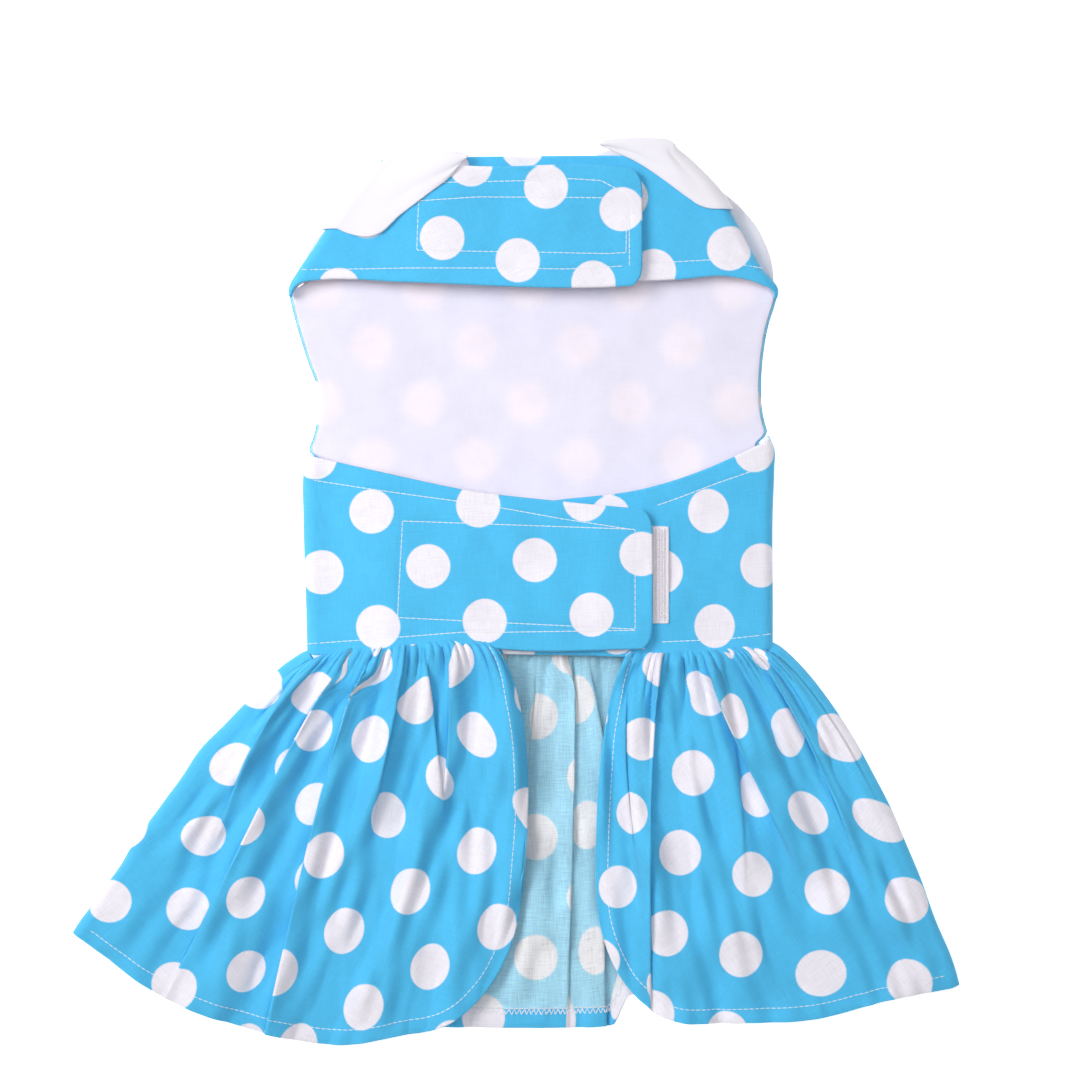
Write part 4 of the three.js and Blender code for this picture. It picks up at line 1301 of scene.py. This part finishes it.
def make_skirt(parts):
    order = [parts["left"][:2], parts["left_bend"], parts["back"][:2],
             [part[:, ::-1] for part in parts["right_bend"]],
             [part[:, ::-1] for part in parts["right"][:2]]]
    grid = np.concatenate([part[0] for part in order], axis=1)
    uv = np.concatenate([part[1] for part in order], axis=1)
    return thick_sheet("skirt_cloth", grid, uv, SHEET, [outer_cloth, inner_cloth])


def surface_path(panel, line, lift):
    """Points over a folded panel along cloth coordinates line, lift above it, with normals."""
    grid, _, u, v = panel
    normals = grid_normals(grid)
    path, ups = [], []
    for cu, cv in line:
        c = np.clip(np.searchsorted(u[0], cu) - 1, 0, u.shape[1] - 2)
        t = (cu - u[0, c]) / (u[0, c + 1] - u[0, c])
        column = v[:, c] * (1 - t) + v[:, c + 1] * t
        r = np.clip(np.searchsorted(column, cv) - 1, 0, v.shape[0] - 2)
        s = np.clip((cv - column[r]) / (column[r + 1] - column[r]), 0, 1)
        weights = (((r, c), (1 - s) * (1 - t)), ((r, c + 1), (1 - s) * t),
                   ((r + 1, c), s * (1 - t)), ((r + 1, c + 1), s * t))
        normal = sum(normals[i] * w for i, w in weights)
        path.append(sum(grid[i] * w for i, w in weights) + normal * lift)
        ups.append(normal * np.sign(lift))
    return np.array(path), np.array(ups)


def front_stitches(parts):
    paths = []
    for side in ("left", "right"):
        wide, tall = ROUNDED[side]
        inset = EDGE_STITCH
        line = [(inset, y) for y in np.arange(2.0, SKIRT - tall, PATH_STEP)]
        for turn in np.linspace(0, math.pi / 2, 60):
            line.append((wide - (wide - inset) * math.cos(turn),
                         SKIRT - tall + (tall - inset) * math.sin(turn)))
        along_hem = np.arange(wide + 1, CLOTH_WIDTH[side] - 1, PATH_STEP)
        line += [(x, SKIRT - inset) for x in along_hem]
        lift = -SIGN[side] * (SHEET / 2 - THREAD / 4)
        paths.append(surface_path(parts[side], line, lift))
    return stitch_mesh("skirt_topstitch", paths)


def hem_facing(parts):
    """Turned-up hem inside the back of the skirt."""
    grid, uv = parts["back"][:2]
    rows = slice(-HEM_ROWS - 1, None)
    inner = grid[rows] - grid_normals(grid)[rows] * FACING_DROP
    return thick_sheet("hem_facing", inner, uv[rows], FACING, [outer_cloth, outer_cloth])


def overlock(parts):
    """Zigzag threads over the upper edge of the turned-up hem, with a straight row above it."""
    top = SKIRT - HEM
    low, high = (share * CLOTH_WIDTH["back"] for share in OVERLOCK["across"])
    zigzag = [(x, top + OVERLOCK["zigzag"][k % 2])
              for k, x in enumerate(np.arange(low, high, OVERLOCK["step"]))]
    straight = [(x, top + OVERLOCK["straight"]) for x in np.arange(low, high, PATH_STEP)]
    paths = [surface_path(parts["back"], line, -OVERLOCK["drop"])
             for line in (resample(zigzag, OVERLOCK["step"] / 2), straight)]
    return stitch_mesh("hem_overlock", paths, *OVERLOCK_STITCH)


# Floor and lights. In metres: the floor's size, the spot that the lights point at, and each
# light's place and size, with its power. Then the lights' spread in degrees, and the strength of
# the floor's own glow and of the light from all round.
FLOOR_SIZE = 6.0
BRIGHTEST = (-0.02, 0.05, 0.0)
LIGHTS = {
    "key_light": ((-0.95, 0.45, 1.1), 0.8, 2.55),
    "fill_light": ((0.15, 0.15, 1.6), 1.0, 1.55),
}
LIGHT_SPREAD = 60
FLOOR_GLOW = 0.62
WORLD_LIGHT = 0.25


def make_floor():
    bpy.ops.mesh.primitive_plane_add(size=FLOOR_SIZE)
    floor = bpy.context.object
    floor.name = "floor"
    material, tree, shader = new_material("floor_paper", roughness=0.9)
    fleck(tree, shader, scale=300.0, low=FLOOR_LOW, high=FLOOR_HIGH)
    shader.inputs["Emission Color"].default_value = WHITE
    shader.inputs["Emission Strength"].default_value = FLOOR_GLOW
    floor.data.materials.append(material)


def make_lights():
    world = bpy.data.worlds.new("studio")
    bpy.context.scene.world = world
    world.use_nodes = True
    back = world.node_tree.nodes["Background"]
    back.inputs["Color"].default_value = WHITE
    back.inputs["Strength"].default_value = WORLD_LIGHT
    for name, (spot, size, power) in LIGHTS.items():
        data = bpy.data.lights.new(name, "AREA")
        data.size = size
        data.energy = power
        data.spread = math.radians(LIGHT_SPREAD)
        light = bpy.data.objects.new(name, data)
        light.location = spot
        toward = Vector(BRIGHTEST) - Vector(spot)
        light.rotation_euler = toward.to_track_quat("-Z", "Y").to_euler()
        bpy.context.scene.collection.objects.link(light)


# The photograph: pixels across, millimetres a pixel, and the pixel of the plan's zero
PHOTO_SIZE = 1080
PHOTO_SCALE = 0.46
PHOTO_MIDDLE = (537.5, 650.0)
# The camera's height and the height that is shown at that scale, in metres, and its sensor
CAMERA_HEIGHT = 1.9
SCALE_HEIGHT = 0.01
SENSOR = 36.0


def make_camera():
    """Straight down, framed as the photograph is."""
    data = bpy.data.cameras.new("camera")
    camera = bpy.data.objects.new("camera", data)
    bpy.context.scene.collection.objects.link(camera)
    width = PHOTO_SIZE * PHOTO_SCALE * MM
    data.sensor_width = SENSOR
    data.lens = SENSOR * (CAMERA_HEIGHT - SCALE_HEIGHT) / width
    x = (PHOTO_SIZE / 2 - PHOTO_MIDDLE[0]) * PHOTO_SCALE * MM
    y = (PHOTO_MIDDLE[1] - PHOTO_SIZE / 2) * PHOTO_SCALE * MM
    camera.location = (PLAN_X + x, PLAN_Y + y, CAMERA_HEIGHT)
    bpy.context.scene.camera = camera


def finish_piece(piece, nodes=()):
    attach(piece, "root")
    if nodes:
        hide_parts(*nodes)


bpy.context.scene.view_settings.view_transform = "Standard"
make_camera()
make_floor()
make_lights()

back = make_back()
finish_piece(back, ["bodice_back"])
lining = make_lining()
finish_piece(lining, ["bodice_lining"])

for band, side in FLAPS:
    flap = make_flap(band, side)
    finish_piece(flap, [f"{band}_flap_{side}"])
    rolled = make_rolled_lining(band, side)
    finish_piece(rolled)

for band in ("belly", "neck"):
    for kind in ("hook", "loop"):
        tape, tape_grid = make_pad(band, kind)
        finish_piece(tape, [f"{band}_{kind}_pad"])
        if kind == "hook":
            hooks = hook_mesh(f"{band}_hooks", tape_grid)
            finish_piece(hooks)

for side in ("left", "right"):
    leaf = make_collar(side)
    finish_piece(leaf, [f"collar_{side}"])

parts = skirt_parts()
skirt = make_skirt(parts)
finish_piece(skirt, ["skirt"])
facing = hem_facing(parts)
finish_piece(facing)

for stitches in (flap_stitches("belly"), flap_stitches("neck"), front_stitches(parts),
                 overlock(parts)):
    finish_piece(stitches)
